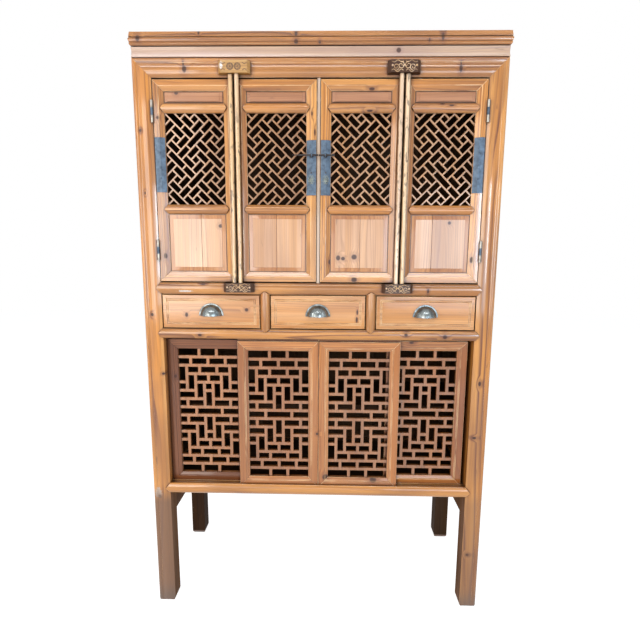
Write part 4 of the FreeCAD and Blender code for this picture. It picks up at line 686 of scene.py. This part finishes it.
# Painted light in tints: the left front post pale for a sheen, the cornice and frieze dark for
# shade
# The case: node, material, slot, rounding of the edges and what else dress takes
CASE = [
    ("front_post_left", honey, "case_wood", 0.0012,
     dict(others=under, shades=1.0, level=UNDERSIDE)),
    ("rear_post_left", honey, "case_wood", 0.0015, dict(others=inside)),
    ("front_post_right", honey, "case_wood", 0.0012,
     dict(others=under, shades=0.75, level=UNDERSIDE)),
    ("rear_post_right", honey, "case_wood", 0.0015, dict(others=inside)),
    ("frieze_rail", honey, "case_wood", 0.0010, dict(shades=0.15)),
    ("cornice", honey, "case_wood", 0.0009, dict(shades=0.0)),
    ("book_rail", honey, "case_wood", USUAL_EDGE, dict(shades=0.4)),
    ("drawer_rail", honey, "case_wood", USUAL_EDGE, dict(shades=0.65)),
    ("foot_rail", honey, "case_wood", 0.0012, dict(shades=0.8)),
    ("drawer_dividers", honey, "case_wood", USUAL_EDGE, dict(shades=0.5)),
    ("side_rails", honey, "case_wood", 0.0012, dict(others=inside + under)),
    ("centre_stile", strip_highlight_wood, "case_wood", 0.0006, {}),
    ("waist_band", band_sheen_wood, "case_wood", USUAL_EDGE, {}),
    ("side_panels", side_wood, "case_wood", USUAL_EDGE,
     dict(along=Z, boards=SIDE_BOARDS, others=inside)),
    ("back_panels", back_wood, "inside_wood", USUAL_EDGE,
     dict(along=Z, boards=BACK_BOARDS, others=inside)),
    ("rear_rails", back_wood, "inside_wood", 0.0015, dict(others=inside)),
    ("top_panel", back_wood, "inside_wood", USUAL_EDGE, dict(along=X, boards=TOP_BOARDS)),
    ("book_shelf", inside_wood, "inside_wood", USUAL_EDGE, dict(along=X)),
    ("book_floor", inside_wood, "inside_wood", USUAL_EDGE, dict(along=X)),
    ("drawer_dust_board", inside_wood, "inside_wood", USUAL_EDGE, dict(along=X)),
    ("lower_shelf", inside_wood, "inside_wood", USUAL_EDGE, dict(along=X)),
    ("lower_floor", inside_wood, "inside_wood", USUAL_EDGE, dict(along=X)),
    ("drawer_guides", inside_wood, "inside_wood", USUAL_EDGE, dict(along=Y)),
    ("top_block_left", block_pale, "block_wood", 0.0012, {}),
    ("top_block_right", block_dark, "block_wood", 0.0012, {}),
    ("low_block_left", block_dark, "block_wood", 0.0012, {}),
    ("low_block_right", block_dark, "block_wood", 0.0012, {}),
]
for node, material, slot, width, options in CASE:
    dress(node, material, slot, width, **options)

# Painted light in the doors' tints: a pale stile stands for a sheen on it, a dark one for shade
# Doors and sliding panels from the left: where a door's panel is parted, from its middle, then the
# tints of the door's left stile, right stile and rails, and those of the sliding panel's
DOORS = [
    (0.012, (0.05, 1.0, 0.6), (0.6, 0.6, 0.6)), (-0.002, (0.1, 1.0, 0.6), (0.15, 0.7, 1.0)),
    (0.002, (0.8, 0.3, 0.7), (0.7, 0.5, 1.0)), (-0.024, (0.15, 1.0, 0.55), (0.3, 0.0, 0.6)),
]
for number, (parting, door_tints, sliding_tints) in enumerate(DOORS, start=1):
    tag = "door_%d" % number
    low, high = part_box(tag + "_panels")
    middle = (low.x + high.x) / 2
    dress(tag + "_frame", door_wood, "case_wood", shades=(middle, *door_tints))
    dress(tag + "_lattice", lattice_wood, "panel_wood", width=0.0014)
    dress(tag + "_panels", panel_wood, "panel_wood", width=0.0006, along=Z, shades=0.4,
          boards=(X, [middle + parting], SEAM),
          others=[(border_wood, is_border), (small_wood, is_small_panel)])
    dress(tag + "_rod", rod_wood, "rod_wood", width=0.0006, along=Z, shades=1.0)
    low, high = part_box("sliding_panel_%d" % number)
    dress("sliding_panel_%d" % number, lower_dark if number == 1 else lower_wood, "lower_wood",
          fine_width=0.0017, others=[(low_lattice, is_finest)],
          shades=((low.x + high.x) / 2, *sliding_tints))
for number, shade in ((1, 0.35), (2, 0.6), (3, 0.6)):
    dress("drawer_%d" % number, drawer_wood, "panel_wood", width=0.0007, along=X, shades=shade)
for number in (1, 2, 3, 4):
    dress("door_%d_ironwork" % number, plate_steel, "steel", METAL_EDGE,
          name="door_%d_iron" % number)
for node in ("lock_pin_left", "lock_pin_right"):
    dress(node, pin_iron, "steel", METAL_EDGE, name=node + "_iron")
dress("post_hinge_leaves", nickel, "steel", METAL_EDGE, name="hinges")
for number in (1, 2, 3):
    dress("drawer_%d_pull" % number, pewter, "pewter", METAL_EDGE, name="drawer_%d_cup" % number)


# Small carved and metal detail, on front faces that look towards -Y

TUBE_SIDES = 8
HOOP_POINTS, HOOP_FLATNESS = 28, 0.6
# The share of a dome's radius that follows a circle's curve; the rest stands upright at its rim
DOME_CURVE = 0.97
# How far the middle of a relief lies behind the face that it stands on
SEAT = 0.0002


def circle(sides):
    """Angles evenly round a circle."""
    return [2 * math.pi * step / sides for step in range(sides)]


def shares(count):
    """Even steps from 0 to 1."""
    return [step / count for step in range(count + 1)]


def polar(reach, turn, depth=0.0):
    """A step in the plane of a front face, and out of it."""
    return Vector((reach * math.cos(turn), depth, reach * math.sin(turn)))


def band(part, near, far):
    """A band of faces between two closed rings of points."""
    for step in range(len(near)):
        after = (step + 1) % len(near)
        part.faces.new((near[step], near[after], far[after], far[step]))


def tube(points, radius, flat=1.0, taper=0.0):
    """A closed tube along points of equal y.

    flat scales it in y, and taper is the share of the radius that is gone at its end.
    """
    part = bmesh.new()
    rings = []
    last = len(points) - 1
    for index, point in enumerate(points):
        course = (points[min(index + 1, last)] - points[max(index - 1, 0)]).normalized()
        across = course.cross(Vector((0, 1, 0))).normalized()
        size = radius * (1.0 - taper * (index / last))
        rings.append([part.verts.new(point + across * size * math.cos(turn)
                                     + Vector((0, flat * size * math.sin(turn), 0)))
                      for turn in circle(TUBE_SIDES)])
    for near, far in zip(rings, rings[1:]):
        band(part, near, far)
    part.faces.new(rings[0][::-1])
    part.faces.new(rings[-1])
    bmesh.ops.recalc_face_normals(part, faces=part.faces)
    return part


def dome(place, radius, height, sides=20, rings=4):
    """A rivet head or boss, closed behind."""
    part = bmesh.new()
    circles = []
    for ring in range(rings):
        turn = math.pi / 2 * ring / rings
        size = radius * math.cos(turn) * DOME_CURVE + radius * (1 - DOME_CURVE)
        circles.append([part.verts.new(place + polar(size, around, -height * math.sin(turn)))
                        for around in circle(sides)])
    part.faces.new(circles[0][::-1])
    for near, far in zip(circles, circles[1:]):
        band(part, near, far)
    tip = part.verts.new(place + Vector((0, -height, 0)))
    for step in range(sides):
        part.faces.new((circles[-1][step], circles[-1][(step + 1) % sides], tip))
    bmesh.ops.recalc_face_normals(part, faces=part.faces)
    return part


def hoop(place, radius, thick):
    """A closed raised ring."""
    part = bmesh.new()
    rings = [[part.verts.new(place + polar(1, turn) * (radius + thick * math.cos(around))
                             + Vector((0, HOOP_FLATNESS * thick * math.sin(around), 0)))
              for around in circle(TUBE_SIDES)] for turn in circle(HOOP_POINTS)]
    for near, far in zip(rings, rings[1:] + rings[:1]):
        band(part, near, far)
    bmesh.ops.recalc_face_normals(part, faces=part.faces)
    return part


def join(parts, name, material, slot, body):
    whole = new_whole()
    for part in parts:
        add_part(whole, part)
    finish_piece(whole, name, material, slot, body)


def front_of(node, aside=0.0):
    """The middle of a node's front face, or a point beside it, and half of the face's height."""
    low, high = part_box(node)
    middle = Vector(((low.x + high.x) / 2 + aside, low.y + SEAT, (low.z + high.z) / 2))
    return middle, (high.z - low.z) / 2


# Each scroll of half a block: distance from the middle, rise and radius as shares of half the
# height, first angle in half turns, and way of turning
SCROLLS = [(0.0105, 0.1, 0.60, 0.5, 1), (0.0240, -0.15, 0.56, 1.5, -1)]
SCROLL_TURNS, SCROLL_CLOSES = 1.35, 0.78
# Each wavy line of half a block: start from the middle, rise and swing as shares of half the height
WAVES = [(0.004, -0.72, 0.22), (0.003, 0.74, -0.16)]
WAVE_LENGTH, WAVE_ANGLE = 0.033, 9.4
# The studs at a block's ends, and the half circle of beads at its middle
STUD_X, STUD_DEPTH = 0.0345, 0.0005
BEADS, BEAD_CIRCLE, BEAD_DROP = 5, 0.0036, -0.001


def spiral(middle, radius, start, way):
    return [middle + polar(radius * (1 - SCROLL_CLOSES * share),
                           start + way * 2 * math.pi * SCROLL_TURNS * share)
            for share in shares(26)]


def scrolls(node):
    """Cloud scrolls carved in relief on the front of a block."""
    middle, half = front_of(node)
    parts = []
    for side in (-1, 1):
        for away, rise, size, start, way in SCROLLS:
            turn = math.pi * start
            parts.append(tube(spiral(middle + Vector((side * away, 0, rise * half)), size * half,
                                     turn if side > 0 else math.pi - turn, side * way),
                              radius=0.0013, flat=1.1, taper=0.35))
        for start, rise, swing in WAVES:
            parts.append(tube([
                middle + Vector((side * (start + WAVE_LENGTH * share), 0,
                                 half * (rise + swing * math.sin(share * WAVE_ANGLE))))
                for share in shares(24)], radius=0.0011, taper=0.5))
        parts.append(dome(middle + Vector((side * STUD_X, STUD_DEPTH, 0.1 * half)),
                          radius=0.0032, height=0.0022))
    for step in range(BEADS):
        turn = math.pi * (step + 0.5) / BEADS
        bead = polar(BEAD_CIRCLE, turn, STUD_DEPTH) + Vector((0, 0, BEAD_DROP))
        parts.append(dome(middle + bead, radius=0.0021, height=0.0020))
    join(parts, node + "_carving", carved, "block_wood", body_of[node])


for node in ("top_block_right", "low_block_left", "low_block_right"):
    scrolls(node)

# The pale block: its two rosettes, and beside each two leaf lines that bend towards each other
ROSETTE_X, ROSETTE_DOTS, DOT_CIRCLE, DOT_DEPTH = 0.0107, 8, 0.0068, 0.0003
LEAF_X, LEAF_LENGTH, LEAF_RISE, LEAF_BEND, LEAF_ANGLE = 0.0145, 0.012, 0.0105, 0.35, 3.1
rosettes = []
for side in (-1, 1):
    centre = front_of("top_block_left", side * ROSETTE_X)[0]
    rosettes.append(hoop(centre, radius=0.0088, thick=0.0013))
    rosettes.append(hoop(centre, radius=0.0050, thick=0.0007))
    rosettes.append(dome(centre + Vector((0, DOT_DEPTH, 0)), radius=0.0026, height=0.0018))
    for turn in circle(ROSETTE_DOTS):
        rosettes.append(dome(centre + polar(DOT_CIRCLE, turn, DOT_DEPTH),
                             radius=0.0015, height=0.0011, sides=10, rings=3))
    end = centre + Vector((side * LEAF_X, 0, 0))
    for rise in (-LEAF_RISE, LEAF_RISE):
        rosettes.append(tube([
            end + Vector((side * LEAF_LENGTH * share, 0,
                          rise * (1 - LEAF_BEND * math.sin(LEAF_ANGLE * share))))
            for share in shares(14)], radius=0.0010))
join(rosettes, "top_block_left_rosettes", block_line, "block_wood", body_of["top_block_left"])

# Front of the iron plates; the outer doors' rivets; the inner doors' roses, with what is over them
PLATE_FRONT = -0.2097
RIVET_X, RIVET_HEIGHTS = 0.4765, (1.505, 1.461, 1.431)
ROSE_X, ROSE_Z = 0.0215, 1.427
PETALS, PETAL_START, PETAL_LENGTH, PETAL_WIDTH, PETAL_STRETCH = 8, 0.0030, 0.0072, 0.0022, 1.35
KNOB_RISE, PIN_RISE = 0.070, 0.0205
for number, side in ((1, -1), (4, 1)):
    rivets = [dome(Vector((side * RIVET_X, PLATE_FRONT + SEAT, z)), radius=0.0030, height=0.0016)
              for z in RIVET_HEIGHTS]
    join(rivets, "door_%d_rivets" % number, plate_steel, "steel", "door_%d" % number)
for number, side in ((2, -1), (3, 1)):
    front = Vector((side * ROSE_X, PLATE_FRONT + SEAT, ROSE_Z))
    petals = []
    for step in range(PETALS):
        turn = 2 * math.pi * (step + 0.5) / PETALS
        out = Vector((math.cos(turn), 0, PETAL_STRETCH * math.sin(turn)))
        across = Vector((-math.sin(turn), 0, math.cos(turn)))
        for way in (1, -1):
            petals.append(tube([front + out * (PETAL_START + PETAL_LENGTH * share)
                                + across * way * PETAL_WIDTH * math.sin(math.pi * share)
                                for share in shares(10)], radius=0.0007))
    petals.append(hoop(front, radius=0.0026, thick=0.0007))
    petals.append(dome(front, radius=0.0016, height=0.0012, sides=12))
    join(petals, "door_%d_rose" % number, rose_brass, "steel", "door_%d" % number)
    join([dome(front + Vector((0, 0, KNOB_RISE)), radius=0.0062, height=0.0022),
          dome(front + Vector((0, 0, PIN_RISE)), radius=0.0026, height=0.0004)],
         "door_%d_knob" % number, pin_iron, "steel", "door_%d" % number)


# Floor, background and light

FLOOR_HALF = 7
FLOOR_COLOUR, FLOOR_GLOW = (0.76, 0.75, 0.74, 1), 0.87
SKY_COLOUR, SKY_STRENGTH = (0.93, 0.96, 1.0, 1), 0.17
WHITE = (1, 1, 1, 1)


def seen_or_mirrored(t):
    """1 for what the camera, a mirror or a glass sees, 0 for light on surfaces."""
    path = t.tree.nodes.new("ShaderNodeLightPath")
    share = path.outputs["Is Camera Ray"]
    for ray in ("Is Glossy Ray", "Is Transmission Ray"):
        share = t.math("MAXIMUM", share, path.outputs[ray])
    return share


floor_mesh = bpy.data.meshes.new("floor")
floor_mesh.from_pydata([(-FLOOR_HALF, -FLOOR_HALF, 0), (FLOOR_HALF, -FLOOR_HALF, 0),
                        (FLOOR_HALF, FLOOR_HALF, 0), (-FLOOR_HALF, FLOOR_HALF, 0)],
                       [], [(0, 1, 2, 3)])
floor = add_object("floor", floor_mesh)
t = Tree(bpy.data.materials.new("pale_floor"))
glow = t.math("MULTIPLY", seen_or_mirrored(t), FLOOR_GLOW)
floor_mesh.materials.append(t.close(t.add(
    "AddShader", i0=t.add("BsdfDiffuse", Color=FLOOR_COLOUR), i1=t.add("Emission", Strength=glow))))

t = Tree(bpy.data.worlds.new("world"))
scene.world = t.owner
t.close(t.add("MixShader", i0=seen_or_mirrored(t),
              i1=t.add("Background", Color=SKY_COLOUR, Strength=SKY_STRENGTH),
              i2=t.add("Background", Color=WHITE, Strength=1.0)), "World")

# Lamps: name, watts, width and height, place, the point that they face, colour
LAMPS = [
    ("window", 28, (1.4, 1.2), (1.25, -3.1, 1.25), (0.1, 0, 1.15), (0.70, 0.85, 1.0)),
    ("right_pane", 17, (0.35, 0.9), (1.6, -3.05, 1.4), (0.5, 0, 1.2), (0.66, 0.84, 1.0)),
    ("left_window", 16, (2.2, 1.0), (-0.60, -3.1, 1.05), (-0.1, 0, 1.1), (1.0, 0.97, 0.94)),
    ("far_left_window", 46, (1.3, 2.0), (-1.80, -3.1, 1.55), (-0.4, 0, 1.2), (1.0, 0.96, 0.90)),
    ("left_side", 12, (0.15, 2.4), (-2.0, -1.5, 1.4), (0, -0.2, 1.2), (1.0, 0.97, 0.92)),
    ("right_side", 7, (0.15, 2.4), (2.0, -1.5, 1.4), (0, -0.2, 1.2), (0.80, 0.90, 1.0)),
    ("above", 20, (2.8, 0.2), (0, -1.9, 3.0), (0, -0.2, 1.2), (0.98, 0.98, 1.0)),
]
for name, watts, size, place, target, colour in LAMPS:
    lamp = bpy.data.lights.new(name, "AREA")
    lamp.shape = "RECTANGLE"
    lamp.size, lamp.size_y = size
    lamp.energy = watts
    lamp.color = colour
    item = add_object(name, lamp)
    item.location = place
    item.rotation_euler = (Vector(target) - Vector(place)).to_track_quat("-Z", "Y").to_euler()
